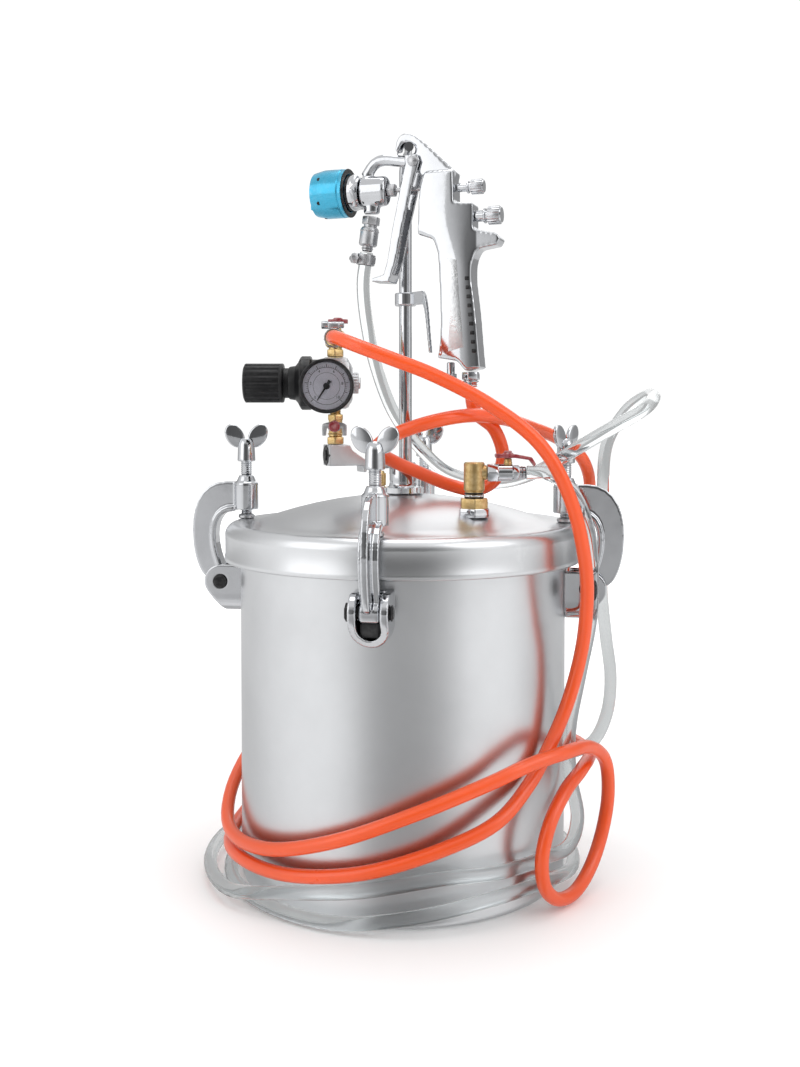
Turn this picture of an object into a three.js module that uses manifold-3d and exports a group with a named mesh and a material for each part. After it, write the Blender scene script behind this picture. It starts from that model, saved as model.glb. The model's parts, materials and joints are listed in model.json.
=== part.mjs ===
// Ten-litre paint pressure tank with its regulator, spray gun and two hoses.
// Millimetres, +Z up, origin at the centre of the tank's base, a lid clamp on each of the X and Y axes.
import * as THREE from "three";
import { mergeVertices } from "three/addons/utils/BufferGeometryUtils.js";
import Module from "manifold-3d";

const wasm = await Module();
wasm.setup();

// ---- Driving dimensions -------------------------------------------------------------------------
const GAP = 0.3; // clearance between pieces that touch
const CUT = 2; // how far a cutting tool runs past a face
const DEG = Math.PI / 180;

// Tank shell
const TANK_R = 125;
const TANK_WALL = 2.5;
const TANK_FLOOR = 3;
const RIM_TOP = 262;
const RIM_DEPTH = 16;
const RIM_STEP = 6; // how far the rim stands out from the shell
const BASE_ROUND = 7;

// Gasket and lid
const GASKET_T = 3;
const GASKET_W = 7;
const LID_OVER = 6; // how far the lid reaches past the rim
const LID_WALL = 3;
const SKIRT_DEPTH = 20; // how far the skirt hangs below the rim's top
const LID_LAND_T = 5; // plate thickness under the clamp pads
const LID_ROUND = 6;
const LAND_W = 23; // from the lid's edge in to where the dome starts
const DOME_RISE = 21;

// Clamps
const CLAMP_ANGLES = { right: 0, rear: 90, left: 180, front: 270 };
const WING_TURN = { right: 60, rear: 90, left: 14, front: 84 };
const PIN_OUT = 18; // pin axis outside the tank wall
const PIN_DROP = 40; // pin axis below the rim's top
const PIN_R = 4.5;
const PIN_HEAD_R = 6.5;
const PIN_HEAD_T = 3;
const EAR_R = 13;
const EAR_T = 5.5;
const EAR_GAP = 16;
const BRACKET_BACK_T = 4;
const BRACKET_DROP = 24; // pin axis to the stirrup's lowest point
const STIRRUP_T = 5.5;
const EYE_R = 8;
const ARM_W = 14;
const WEB_T = 5;
const FLANGE_T = 4.5;
const SCREW_IN = 12; // screw axis inside the lid's edge
const SCREW_R = 4.4;
const PAD_R = 6.5;
const PAD_T = 3.7;
const PAD_TRAVEL = 3;
const BOSS_R = 9.5;
const BOSS_H = 22;
const COLLAR_H = 5;
const SCREW_SHOWS = 11;
const HUB_R = 7;
const HUB_H = 18;
const WING_T = 3;
const WING_REACH = 16;

// Fittings on the lid, turned a little against the clamps
const FITTINGS_TURN = 8.5;
const CROWN = 291.6; // height of the lid's crown in the fittings' frame, whose other heights follow it
const HUB_POST_R = 10.5;
const HUB_POST_H = 24;
const HUB_FOOT_R = 16;
const HUB_FOOT_H = 6;
const ROD_X = 2;
const ROD_R = 5;
const ROD_TOP = 550.6; // axis of the peg at the rod's top
const PEG_R = 3.5;
const PEG_SIDE = 2.6; // how far the peg stands to the right of the rod
const PEG_REACH = 33;
const RISER_X = -51;
const RISER_Y = -19;
const AIR_ARM_Z = 322; // middle of the cast arm
const AIR_ARM_H = 16;
const AIR_ARM_W = 16;
const REG_Z = 376.5;
const REG_W = 24;
const REG_D = 34;
const REG_H = 39;
const FLANGE_R = 20.3;
const FLANGE_LEN = 8;
const KNOB_R = 14.8;
const KNOB_LEN = 34;
const GAUGE_R = 20;
const GAUGE_DEPTH = 17;
const DIAL_R = 17.2;

// Outlet and dip tube
const OUTLET_X = 51.5;
const OUTLET_Y = -65;
const OUTLET_HEX = 19;
const OUTLET_STEM_R = 5;
const OUTLET_BODY_R = 7.5;
const OUTLET_AXIS_Z = 311;
const DIP_R = 5;
const DIP_BORE_R = 3.6;
const DIP_FOOT = 12; // dip tube's mouth above the tank floor

// Safety valve
const SAFETY_X = -20;
const SAFETY_Y = 65;
const SAFETY_R = 6;

// Spray gun, in its own frame: u to the rear, v across, z up
const GUN_OFF = 22; // the gun's middle plane in front of the rod
const GUN_YAW = -20;
const GUN_AXIS_Z = 521;
const BODY_T = 20;
const HOOK_T = 11;
const HEAD_R = 11.5;
const CAP_R = 18.3;
const CAP_LEN = 27;
const CAP_REAR = -43;
const TRIGGER_W = 17.6;
const TRIGGER_SLOT = 12.6;
const TRIGGER_PIN_R = 2.5;
const PIVOT_U = 11;
const PIVOT_Z = 540;
const AIR_IN_U = 53.5;
const AIR_IN_Z = 373;
const FLUID_IN_U = -25;

// Hoses
const AIR_HOSE_R = 5;
const FLUID_HOSE_R = 5;
const HOSE_STEPS = 80;

// ---- Finishes -----------------------------------------------------------------------------------
const finish = (color, roughness, metalness) =>
  new THREE.MeshStandardMaterial({ color, roughness, metalness });
const SATIN = finish(0xc3c5c8, 0.42, 0.9);
const CHROME = finish(0xe4e6e8, 0.12, 1);
const STEEL = finish(0x8b8d90, 0.35, 0.9);
const BRASS = finish(0xb08a45, 0.3, 1);
const BLACK = finish(0x141416, 0.45, 0);
const RUBBER = finish(0x1d1d1f, 0.8, 0);
const BLUE = finish(0x3a93b8, 0.25, 0.9);
const RED = finish(0x8e1d26, 0.4, 0);
const WHITE = finish(0xe6e4ee, 0.6, 0);
const GLASS = finish(0xf4f6f8, 0.05, 0);
const ORANGE = finish(0xee4a23, 0.35, 0);
const CLEAR = finish(0xd8dcdc, 0.15, 0);

// ---- Solid helpers ------------------------------------------------------------------------------
// A closed three.js geometry as a manifold-3d solid with its faces pointing out.
function solid(geometry) {
  const bare = geometry.index ? geometry.toNonIndexed() : geometry.clone();
  bare.deleteAttribute("normal");
  bare.deleteAttribute("uv");
  const merged = mergeVertices(bare, 1e-4);
  const vertProperties = new Float32Array(merged.attributes.position.array);
  const triVerts = new Uint32Array(merged.index.array);
  const make = () => new wasm.Manifold(new wasm.Mesh({ numProp: 3, vertProperties, triVerts }));
  const made = make();
  if (made.volume() > 0) return made;
  for (let i = 0; i < triVerts.length; i += 3)
    [triVerts[i + 1], triVerts[i + 2]] = [triVerts[i + 2], triVerts[i + 1]];
  return make();
}

function geometryOf(made) {
  const mesh = made.getMesh();
  const geometry = new THREE.BufferGeometry();
  geometry.setAttribute("position", new THREE.BufferAttribute(mesh.vertProperties, 3));
  geometry.setIndex(new THREE.BufferAttribute(mesh.triVerts, 1));
  const flat = geometry.toNonIndexed();
  flat.computeVertexNormals();
  return flat;
}

const joined = (first, ...rest) => rest.reduce((all, one) => all.add(one), first);
const without = (first, ...rest) => rest.reduce((all, one) => all.subtract(one), first);

// How many flats stand for a circle.
const sidesFor = (radius) => (radius > 60 ? 48 : radius > 14 ? 24 : radius > 8 ? 18 : radius > 4 ? 14 : 10);

// A turned solid about +Z from its [radius, height] profile.
function turned(profile, sides = sidesFor(Math.max(...profile.map(([r]) => r)))) {
  const points = profile.map(([r, z]) => new THREE.Vector2(r, z));
  return solid(new THREE.LatheGeometry(points, sides).rotateX(Math.PI / 2));
}

// A rod, disc or (with few sides) a nut about +Z between two heights, with chamfered ends.
function post(radius, low, high, chamfer = 0.6, sides = sidesFor(radius)) {
  const c = Math.min(chamfer, radius / 3, (high - low) / 3);
  return turned(
    [[0, low], [radius - c, low], [radius, low + c], [radius, high - c], [radius - c, high], [0, high]],
    sides,
  );
}
const nut = (flats, low, high) => post(flats / 2 / Math.cos(30 * DEG), low, high, 1, 6);

// A flat outline in the X-Z plane, given thickness across Y.
function plate(outline, thickness, middle = 0, curveSegments = 6) {
  const geometry = new THREE.ExtrudeGeometry(outline, {
    depth: thickness,
    bevelEnabled: false,
    curveSegments,
  });
  return solid(geometry.rotateX(Math.PI / 2).translate(0, middle + thickness / 2, 0));
}
const outlineOf = (points) => new THREE.Shape(points.map(([x, z]) => new THREE.Vector2(x, z)));

// A bar of round section along a smooth curve through the points.
function bar(points, radius, steps, sides = 10) {
  const section = new THREE.Shape();
  for (let i = 0; i < sides; i++) {
    const a = (i / sides) * 2 * Math.PI;
    const [x, y] = [radius * Math.cos(a), radius * Math.sin(a)];
    if (i) section.lineTo(x, y);
    else section.moveTo(x, y);
  }
  const path = new THREE.CatmullRomCurve3(points.map((p) => new THREE.Vector3(...p)));
  return solid(new THREE.ExtrudeGeometry(section, { steps, bevelEnabled: false, extrudePath: path }));
}
const block = (size, at) => solid(new THREE.BoxGeometry(...size).translate(...at));

// Solids made about +Z, laid along another axis.
const alongX = (made) => made.rotate([0, 90, 0]);
const alongY = (made) => made.rotate([-90, 0, 0]);

const root = new THREE.Group();
function group(parent = root) {
  const made = new THREE.Group();
  parent.add(made);
  return made;
}
function add(parent, name, made, material) {
  const mesh = new THREE.Mesh(geometryOf(made), material);
  mesh.name = name;
  parent.add(mesh);
  return mesh;
}

// ---- Tank ---------------------------------------------------------------------------------------
const RIM_R = TANK_R + RIM_STEP;
const LID_R = RIM_R + LID_OVER;
const LAND_INNER_R = LID_R - LAND_W;
const RIM_BOTTOM = RIM_TOP - RIM_DEPTH;
const TANK_BORE = TANK_R - TANK_WALL;
const LID_BOTTOM = RIM_TOP + GASKET_T + 2 * GAP; // underside of the land
const LAND_Z = LID_BOTTOM + LID_LAND_T; // top of the land
const DOME_TOP = LAND_Z + DOME_RISE;
const domeZ = (r) => LAND_Z + DOME_RISE * (1 - (r / LAND_INNER_R) ** 2);

function tankBody() {
  const s = BASE_ROUND * (1 - Math.SQRT1_2);
  return turned(
    [
      [0, 0],
      [TANK_R - BASE_ROUND, 0],
      [TANK_R - s, s],
      [TANK_R, BASE_ROUND],
      [TANK_R, RIM_BOTTOM],
      [RIM_R, RIM_BOTTOM + 4],
      [RIM_R, RIM_TOP - 1],
      [RIM_R - 1, RIM_TOP],
      [TANK_BORE, RIM_TOP],
      [TANK_BORE, TANK_FLOOR + 5],
      [TANK_BORE - 5, TANK_FLOOR],
      [0, TANK_FLOOR],
    ],
  );
}

function gasket() {
  const outer = RIM_R - 1;
  const low = RIM_TOP + GAP;
  return turned(
    [
      [outer - GASKET_W, low],
      [outer, low],
      [outer, low + GASKET_T],
      [outer - GASKET_W, low + GASKET_T],
      [outer - GASKET_W, low],
    ],
  );
}

function lid() {
  const skirt = RIM_TOP - SKIRT_DEPTH;
  const inner = LID_R - LID_WALL;
  const s = LID_ROUND * (1 - Math.SQRT1_2);
  const domeR = [LAND_INNER_R, LAND_INNER_R - 34, LAND_INNER_R - 69];
  const shell = turned(
    [
      [0, DOME_TOP - LID_WALL],
      ...domeR.toReversed().map((r) => [r, domeZ(r) - (r === LAND_INNER_R ? LID_LAND_T : LID_WALL)]),
      [inner, LID_BOTTOM],
      [inner, skirt],
      [LID_R, skirt],
      [LID_R, LAND_Z - LID_ROUND],
      [LID_R - s, LAND_Z - s],
      [LID_R - LID_ROUND, LAND_Z],
      ...domeR.map((r) => [r, domeZ(r)]),
      [0, DOME_TOP],
    ],
  );
  const at = turnedPoint(OUTLET_X, OUTLET_Y);
  return without(shell, post(OUTLET_STEM_R + GAP, LID_BOTTOM - CUT, DOME_TOP, 0).translate([...at, 0]));
}
// A point of the fittings' frame, in the tank's frame.
function turnedPoint(x, y) {
  const [c, s] = [Math.cos(FITTINGS_TURN * DEG), Math.sin(FITTINGS_TURN * DEG)];
  return [x * c - y * s, x * s + y * c];
}

// ---- Clamps, in a frame with X straight out from the tank ---------------------------------------------
const PIN_X = TANK_R + PIN_OUT;
const PIN_Z = RIM_TOP - PIN_DROP;
const SCREW_X = LID_R - SCREW_IN;
const PAD_TOP = LAND_Z + GAP + PAD_T;
const BOSS_Z = PAD_TOP + PAD_TRAVEL + GAP;
const BOSS_TOP = BOSS_Z + BOSS_H;
const HUB_Z = BOSS_TOP + COLLAR_H + SCREW_SHOWS;

function bracket() {
  const width = EAR_GAP + 2 * EAR_T;
  const side = new THREE.Shape();
  side.moveTo(TANK_R - CUT, PIN_Z + EAR_R);
  side.lineTo(PIN_X, PIN_Z + EAR_R);
  side.absarc(PIN_X, PIN_Z, EAR_R, Math.PI / 2, -Math.PI / 5, true);
  side.lineTo(PIN_X - 2, PIN_Z - BRACKET_DROP);
  side.lineTo(TANK_R - CUT, PIN_Z - BRACKET_DROP);
  const front = (half, low) => {
    const u = new THREE.Shape();
    u.moveTo(-half, PIN_Z + EAR_R + CUT);
    u.lineTo(-half, low + half);
    u.absarc(0, low + half, half, Math.PI, 2 * Math.PI, false);
    u.lineTo(half, PIN_Z + EAR_R + CUT);
    return u;
  };
  const along = (shape, from, to) => plate(shape, to - from).rotate([0, 0, 90]).translate([(from + to) / 2, 0, 0]);
  const low = PIN_Z - BRACKET_DROP;
  const outer = along(front(width / 2, low), TANK_R - 2 * CUT, PIN_X + EAR_R + CUT);
  const slot = along(front(EAR_GAP / 2, low + STIRRUP_T), TANK_R + BRACKET_BACK_T, PIN_X + EAR_R + CUT);
  const hole = alongY(post(PIN_R + GAP, -width, width, 0)).translate([PIN_X, 0, PIN_Z]);
  const tank = post(TANK_R + GAP, 0, RIM_TOP, 0);
  return without(plate(side, width).intersect(outer), slot, hole, tank);
}

function clampPin() {
  const half = EAR_GAP / 2 + EAR_T;
  const shank = post(PIN_R, -half - GAP, half + 2.5);
  const head = post(PIN_HEAD_R, -half - GAP - PIN_HEAD_T, -half - GAP, 0.8, 6);
  return alongY(joined(shank, head)).translate([PIN_X, 0, PIN_Z]);
}

// The C-shaped arm: a half-moon web, a broad inner flange, an eye on the pin and a threaded boss.
function clampArm() {
  const heel = [PIN_X + 3, PIN_Z + 6];
  const reach = PIN_X + 26.5; // furthest the web stands out
  const crown = BOSS_TOP;
  const inner = new THREE.CubicBezierCurve(
    new THREE.Vector2(SCREW_X + BOSS_R - 1, BOSS_Z + 3),
    new THREE.Vector2(PIN_X + 14, BOSS_Z + 4),
    new THREE.Vector2(PIN_X + 15, PIN_Z + 30),
    new THREE.Vector2(...heel),
  );
  const web = new THREE.Shape();
  web.moveTo(SCREW_X + 2, crown);
  web.lineTo(PIN_X - 1, crown);
  web.bezierCurveTo(reach - 6, crown, reach + 2, PIN_Z + 55, reach - 1, PIN_Z + 28);
  web.bezierCurveTo(reach - 3, PIN_Z + 12, PIN_X + 18, PIN_Z + 2, PIN_X + 13, PIN_Z + 1);
  web.lineTo(...heel);
  const line = inner.getPoints(10);
  line.toReversed().forEach((p) => web.lineTo(p.x, p.y));
  web.lineTo(SCREW_X + 2, BOSS_Z + 3);
  const flangeLine = line.map((p, i) => {
    const t = inner.getTangent(i / 10);
    return [p.x + t.y * FLANGE_T, p.y - t.x * FLANGE_T];
  });
  const flange = outlineOf([...line.map((p) => [p.x, p.y]), ...flangeLine.toReversed()]);
  const eye = alongY(post(EYE_R, -ARM_W / 2, ARM_W / 2, 1)).translate([PIN_X, 0, PIN_Z]);
  const eyeHole = alongY(post(PIN_R + GAP, -ARM_W, ARM_W, 0)).translate([PIN_X, 0, PIN_Z]);
  const boss = turned(
    [
      [0, BOSS_Z],
      [BOSS_R, BOSS_Z],
      [BOSS_R, BOSS_TOP - 1],
      [BOSS_R - 1.5, BOSS_TOP],
      [SCREW_R + 1.5, BOSS_TOP + COLLAR_H],
      [0, BOSS_TOP + COLLAR_H],
    ],
  );
  const thread = post(SCREW_R + GAP, BOSS_Z - CUT, BOSS_TOP + COLLAR_H + CUT, 0);
  const whole = joined(
    plate(web, WEB_T, 0, 8),
    plate(flange, ARM_W),
    eye,
    boss.translate([SCREW_X, 0, 0]),
  );
  return without(whole, eyeHole, thread.translate([SCREW_X, 0, 0]));
}

function pressurePad() {
  return turned(
    [
      [0, LAND_Z + GAP],
      [PAD_R - 0.6, LAND_Z + GAP],
      [PAD_R, LAND_Z + GAP + 0.6],
      [PAD_R, PAD_TOP - 1.2],
      [SCREW_R, PAD_TOP],
      [0, PAD_TOP],
    ],
  ).translate([SCREW_X, 0, 0]);
}

function wingScrew(turn) {
  const shaft = post(SCREW_R, PAD_TOP + GAP, HUB_Z + 1);
  const hub = turned(
    [[0, HUB_Z], [HUB_R, HUB_Z], [HUB_R - 1, HUB_Z + HUB_H - 2], [HUB_R - 3, HUB_Z + HUB_H], [0, HUB_Z + HUB_H]],
  );
  const leaf = new THREE.Shape();
  leaf.absellipse(0, 0, 7, 10, 0, 2 * Math.PI, false);
  const wing = (side) =>
    plate(leaf, WING_T, 0, 5)
      .rotate([0, side * 32, 0])
      .translate([side * (WING_REACH - 7), 0, HUB_Z + HUB_H + 2]);
  return joined(shaft, hub, wing(1), wing(-1)).rotate([0, 0, turn]).translate([SCREW_X, 0, 0]);
}

function addClamp(name, angle) {
  const clamp = group();
  clamp.rotation.z = angle * DEG;
  add(clamp, "clamp_bracket_" + name, bracket(), CHROME);
  add(clamp, "clamp_pin_" + name, clampPin(), STEEL);
  add(clamp, "clamp_arm_" + name, clampArm(), CHROME);
  add(clamp, "pressure_pad_" + name, pressurePad(), STEEL);
  add(clamp, "wing_screw_" + name, wingScrew(WING_TURN[name]), CHROME);
}

add(root, "tank_body", tankBody(), SATIN);
add(root, "lid_gasket", gasket(), RUBBER);
add(root, "lid", lid(), SATIN);
for (const [name, angle] of Object.entries(CLAMP_ANGLES)) addClamp(name, angle);

// ---- Fittings on the lid ------------------------------------------------------------------------
const fittings = group();
fittings.rotation.z = FITTINGS_TURN * DEG;
const LIFT = DOME_TOP - CROWN; // how far a taller tank carries the fittings up
fittings.position.z = LIFT;
const coverZ = (x, y) => domeZ(Math.hypot(x, y)) - LIFT;

const HUB_TOP = CROWN + GAP + HUB_POST_H;
function lidHub() {
  const low = CROWN + GAP;
  return turned(
    [
      [0, low],
      [HUB_FOOT_R, low],
      [HUB_FOOT_R, low + HUB_FOOT_H - 1],
      [HUB_POST_R, low + HUB_FOOT_H],
      [HUB_POST_R, HUB_TOP - 2],
      [HUB_POST_R - 2, HUB_TOP],
      [0, HUB_TOP],
    ],
  );
}

// The rod that carries the gun: its top turns forward into a peg under the gun's hook.
function supportRod() {
  const turn = 10;
  const upright = post(ROD_R, HUB_TOP + GAP, ROD_TOP - turn);
  const elbow = bar(
    [
      [0, 0, ROD_TOP - turn - 1],
      [0.5, -1.5, ROD_TOP - 4],
      [1.5, -6, ROD_TOP - 1],
      [PEG_SIDE, -turn - 1, ROD_TOP],
    ],
    PEG_R,
    6,
    12,
  );
  const peg = alongY(post(PEG_R, -PEG_REACH, -turn)).translate([PEG_SIDE, 0, ROD_TOP]);
  return joined(upright, elbow, peg).translate([ROD_X, 0, 0]);
}

// A split ring on the rod with a strip that steadies the gun's handle.
const HOLDER_Z = 441;
const HOLDER_W = 10;
function gunHolder() {
  const ring = without(
    post(ROD_R + GAP + 3, HOLDER_Z - HOLDER_W / 2, HOLDER_Z + HOLDER_W / 2),
    post(ROD_R + GAP, HOLDER_Z - HOLDER_W, HOLDER_Z + HOLDER_W, 0),
  ).translate([ROD_X, 0, 0]);
  const bend = new THREE.Shape();
  const top = HOLDER_Z + HOLDER_W / 2;
  bend.moveTo(0, top - HOLDER_W);
  bend.lineTo(0, top);
  bend.lineTo(16, top);
  bend.bezierCurveTo(22, top - 4, 22, top - 24, 26, HOLDER_Z - 42);
  bend.lineTo(24, HOLDER_Z - 42);
  bend.bezierCurveTo(20, top - 24, 19, top - 8, 14, top - HOLDER_W);
  const strip = plate(bend, 2.4).rotate([0, 0, -55]).translate([ROD_X + 4.5, -6, 0]);
  return joined(ring, strip);
}

// The cast arm that carries air from the regulator down into the lid's hub.
function airArm() {
  const [low, high] = [AIR_ARM_Z - AIR_ARM_H / 2, AIR_ARM_Z + AIR_ARM_H / 2];
  const end = Math.hypot(RISER_X, RISER_Y);
  const side = outlineOf([
    [-end - 7.5, low],
    [-end - 7.5, high],
    [-end + 9, high],
    [-end + 11, high - 4],
    [-32, low + 4],
    [-32, low - 5],
    [-35, low - 5],
    [-35, low],
  ]);
  const spout = alongX(post(4, -34, -HUB_POST_R - GAP - 0.5)).translate([0, 0, low + 1]);
  const whole = joined(plate(side, AIR_ARM_W), spout);
  return whole.rotate([0, 0, Math.atan2(RISER_Y, RISER_X) / DEG - 180]);
}

function armPlug() {
  const end = Math.hypot(RISER_X, RISER_Y) + 7.5 + GAP;
  const disc = alongX(post(8, -end - 3.5, -end)).translate([0, 0, AIR_ARM_Z]);
  return disc.rotate([0, 0, Math.atan2(RISER_Y, RISER_X) / DEG - 180]);
}

const ARM_TOP = AIR_ARM_Z + AIR_ARM_H / 2;
const REG_LOW = REG_Z - REG_H / 2;
const REG_HIGH = REG_Z + REG_H / 2;
const STEM_REACH = 12;
const LOWER_STEM_Z = ARM_TOP + 14;

function lowerValve() {
  const low = ARM_TOP + GAP;
  const body = joined(
    nut(12, low, low + 5.5),
    post(5.2, low + 5, REG_LOW - GAP - 4),
    nut(11, REG_LOW - GAP - 4.5, REG_LOW - GAP),
  );
  const stem = alongY(post(3, 0, STEM_REACH)).rotate([0, 0, 180]).translate([0, 0, LOWER_STEM_Z]);
  return joined(body, stem).translate([RISER_X, RISER_Y, 0]);
}

// A butterfly handle about a stem that points along -Y, or (upright) along +Z.
function butterfly(reach, drop) {
  const leaf = new THREE.Shape();
  leaf.moveTo(-reach, -drop);
  leaf.lineTo(-reach, 1);
  leaf.bezierCurveTo(-reach * 0.8, 4, reach * 0.8, 4, reach, 1);
  leaf.lineTo(reach, -drop);
  leaf.lineTo(reach - 3, -drop);
  leaf.lineTo(reach - 3.6, -1);
  leaf.lineTo(3.4, -3.5);
  leaf.lineTo(-3.4, -3.5);
  leaf.lineTo(-reach + 3.6, -1);
  leaf.lineTo(-reach + 3, -drop);
  return joined(plate(leaf, 3, 0, 5), alongY(post(3.6, -2.4, 2.4)));
}

function lowerHandle() {
  return butterfly(9.2, 7).translate([RISER_X, RISER_Y - STEM_REACH - GAP - 2.4, LOWER_STEM_Z]);
}

function regulatorBody() {
  const right = RISER_X + 12.5;
  const box = block([REG_W, REG_D, REG_H], [right - REG_W / 2, RISER_Y, REG_Z]);
  const barrel = alongX(post(REG_H / 2, right - REG_W, right, 3)).translate([0, RISER_Y, REG_Z]);
  const plug = alongX(joined(post(8, right - 1, right + 5, 0.5), post(5, right + 4, right + 6.5, 0.5, 6)));
  return joined(
    box.intersect(barrel),
    neck(REG_LOW),
    neck(REG_HIGH - 5),
    plug.translate([0, RISER_Y, REG_Z]),
  );
}
const neck = (z) => post(9, z, z + 5, 1).translate([RISER_X, RISER_Y, 0]);

const BONNET_RIGHT = RISER_X + 12.5 - REG_W - GAP;
function regulatorBonnet() {
  const x = BONNET_RIGHT;
  const flange = x - FLANGE_LEN - 6;
  return alongX(
    turned(
      [
        [0, flange - 9],
        [12, flange - 9],
        [18, flange - 1],
        [FLANGE_R, flange],
        [FLANGE_R, flange + FLANGE_LEN],
        [FLANGE_R - 2.5, flange + FLANGE_LEN + 0.5],
        [FLANGE_R - 2.5, x],
        [0, x],
      ],
    ),
  ).translate([0, RISER_Y, REG_Z]);
}

const KNOB_RIGHT = BONNET_RIGHT - FLANGE_LEN - 6 - 9 - GAP;
function regulatorKnob() {
  const ribs = 24;
  const outline = new THREE.Shape();
  for (let i = 0; i < 2 * ribs; i++) {
    const r = i % 2 ? KNOB_R - 0.7 : KNOB_R;
    const a = (i / ribs) * Math.PI;
    const [x, y] = [r * Math.cos(a), r * Math.sin(a)];
    if (i) outline.lineTo(x, y);
    else outline.moveTo(x, y);
  }
  const ribbed = plate(outline, KNOB_LEN - 3).rotate([90, 0, 0]).rotate([0, 90, 0]);
  const collar = alongX(post(KNOB_R - 3.5, KNOB_RIGHT - 3.5, KNOB_RIGHT));
  return joined(ribbed.translate([KNOB_RIGHT - 3 - (KNOB_LEN - 3) / 2, 0, 0]), collar)
    .translate([0, RISER_Y, REG_Z]);
}

// The gauge, made about +Z with its face up, then stood to face -Y.
const GAUGE_X = RISER_X - 4.5;
const GAUGE_BACK = RISER_Y - REG_D / 2;
const faceForward = (made) =>
  made.rotate([90, 0, 0]).translate([GAUGE_X, GAUGE_BACK - GAP, REG_Z - 3]);
const GAUGE_STEM = 4;
const DIAL_AT = GAUGE_STEM + GAUGE_DEPTH - 4;
function gaugeCase() {
  const end = GAUGE_STEM + GAUGE_DEPTH;
  return faceForward(
    turned(
      [
        [0, 0],
        [5, 0],
        [5, GAUGE_STEM],
        [GAUGE_R - 3, GAUGE_STEM],
        [GAUGE_R - 1.5, GAUGE_STEM + 2],
        [GAUGE_R - 1.5, end - 7],
        [GAUGE_R, end - 6],
        [GAUGE_R, end - 0.8],
        [GAUGE_R - 0.8, end],
        [DIAL_R + GAP, end],
        [DIAL_R + GAP, DIAL_AT - 1.2],
        [0, DIAL_AT - 1.2],
      ],
    ),
  );
}
const gaugeDial = () => faceForward(post(DIAL_R, DIAL_AT - 0.9, DIAL_AT - 0.1, 0.1));
const gaugeLens = () =>
  faceForward(post(DIAL_R, DIAL_AT + 2.2, DIAL_AT + 3.4, 0.1));
const NEEDLE_REST = 213; // degrees clockwise from straight up
function gaugeNeedle() {
  const pointer = outlineOf([[-1.3, -4.5], [1.3, -4.5], [0.35, 12.5], [-0.35, 12.5]]);
  const flat = plate(pointer, 0.6).rotate([-90, 0, 0]);
  const hub = post(2.4, -0.5, 0.7, 0.2);
  return faceForward(joined(flat, hub).rotate([0, 0, -NEEDLE_REST]).translate([0, 0, DIAL_AT + 0.8]));
}

// Air outlet valve on top of the regulator; its barb points forward, to the air hose.
const UPPER_BODY_Z = REG_HIGH + GAP + 13;
const BARB_Y = RISER_Y - 12;
function upperValve() {
  const low = REG_HIGH + GAP;
  const riser = joined(
    nut(12, low, low + 5.5),
    post(5, low + 5, low + 8),
    post(7.5, low + 7, low + 20, 1.5),
    post(3, low + 19, low + 24),
  );
  const barb = alongY(post(4.5, 0, RISER_Y - BARB_Y)).rotate([0, 0, 180]).translate([0, 0, UPPER_BODY_Z]);
  return joined(riser, barb).translate([RISER_X, RISER_Y, 0]);
}
const UPPER_HANDLE_Z = REG_HIGH + GAP + 24 + GAP + 2.4;
function upperHandle() {
  return butterfly(7.5, 5).rotate([90, 0, 0]).translate([RISER_X + 2, RISER_Y, UPPER_HANDLE_Z]);
}

// A worm-drive clamp about the axis of the hose under it.
function hoseClamp(hoseR) {
  const bore = hoseR + 4 * GAP;
  const band = post(bore + 1, -4, 4, 0.3);
  const box = block([9, 5, 7], [0, bore + 2.5, 0]);
  const screw = alongX(post(2.6, -8, 8)).translate([0, bore + 3.4, 0]);
  return joined(band, box, screw).subtract(post(bore, -5, 5, 0));
}

function airHoseClamp() {
  return hoseClamp(AIR_HOSE_R).rotate([90, 0, 0]).translate([RISER_X, BARB_Y - GAP - 7, UPPER_BODY_Z]);
}

// ---- Outlet: dip tube, elbow and valve --------------------------------------------------------------
const OUTLET_Z = coverZ(OUTLET_X, OUTLET_Y) + 3;
const STEM_LOW = OUTLET_Z - 20;
function outletElbow() {
  const top = OUTLET_AXIS_Z + OUTLET_BODY_R;
  const upright = joined(
    post(OUTLET_STEM_R, STEM_LOW, OUTLET_Z + 1),
    nut(OUTLET_HEX, OUTLET_Z, OUTLET_Z + 9),
    post(6, OUTLET_Z + 8, OUTLET_Z + 15),
    post(OUTLET_BODY_R, OUTLET_Z + 14, top, 2),
  );
  const arm = alongX(post(5.5, 0, 9)).translate([0, 0, OUTLET_AXIS_Z]);
  return joined(upright, arm).translate([OUTLET_X, OUTLET_Y, 0]);
}
const OUTLET_MOUTH = OUTLET_X + 9;
const OUTLET_LEN = 28;
const LEVER_AT = 15;
function outletValve() {
  const x = OUTLET_MOUTH + GAP;
  const along = joined(
    nut(12.5, x, x + 8),
    post(6.3, x + 7, x + 19, 1.2),
    nut(10.5, x + 18, x + 23),
    post(4.4, x + 22, x + OUTLET_LEN),
  );
  const stem = post(2.8, 0, 10).translate([x + LEVER_AT, 0, 0]);
  return joined(alongX(along), stem).translate([0, OUTLET_Y, OUTLET_AXIS_Z]);
}
function outletLever() {
  const side = outlineOf([[-9, 0], [-9, 2.5], [6, 2.5], [17, 0.5], [20, -4.5], [18.5, -6], [15, -1.5], [5, 0]]);
  const lever = joined(plate(side, 8), post(4, -0.2, 3.6));
  return lever.translate([OUTLET_MOUTH + GAP + LEVER_AT, OUTLET_Y, OUTLET_AXIS_Z + 10.3 + GAP]);
}
function dipTube() {
  const top = STEM_LOW - GAP;
  const low = TANK_FLOOR + DIP_FOOT - LIFT;
  const tube = without(post(DIP_R, low, top), post(DIP_BORE_R, low - CUT, top - 6, 0));
  return tube.translate([OUTLET_X, OUTLET_Y, 0]);
}

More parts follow.
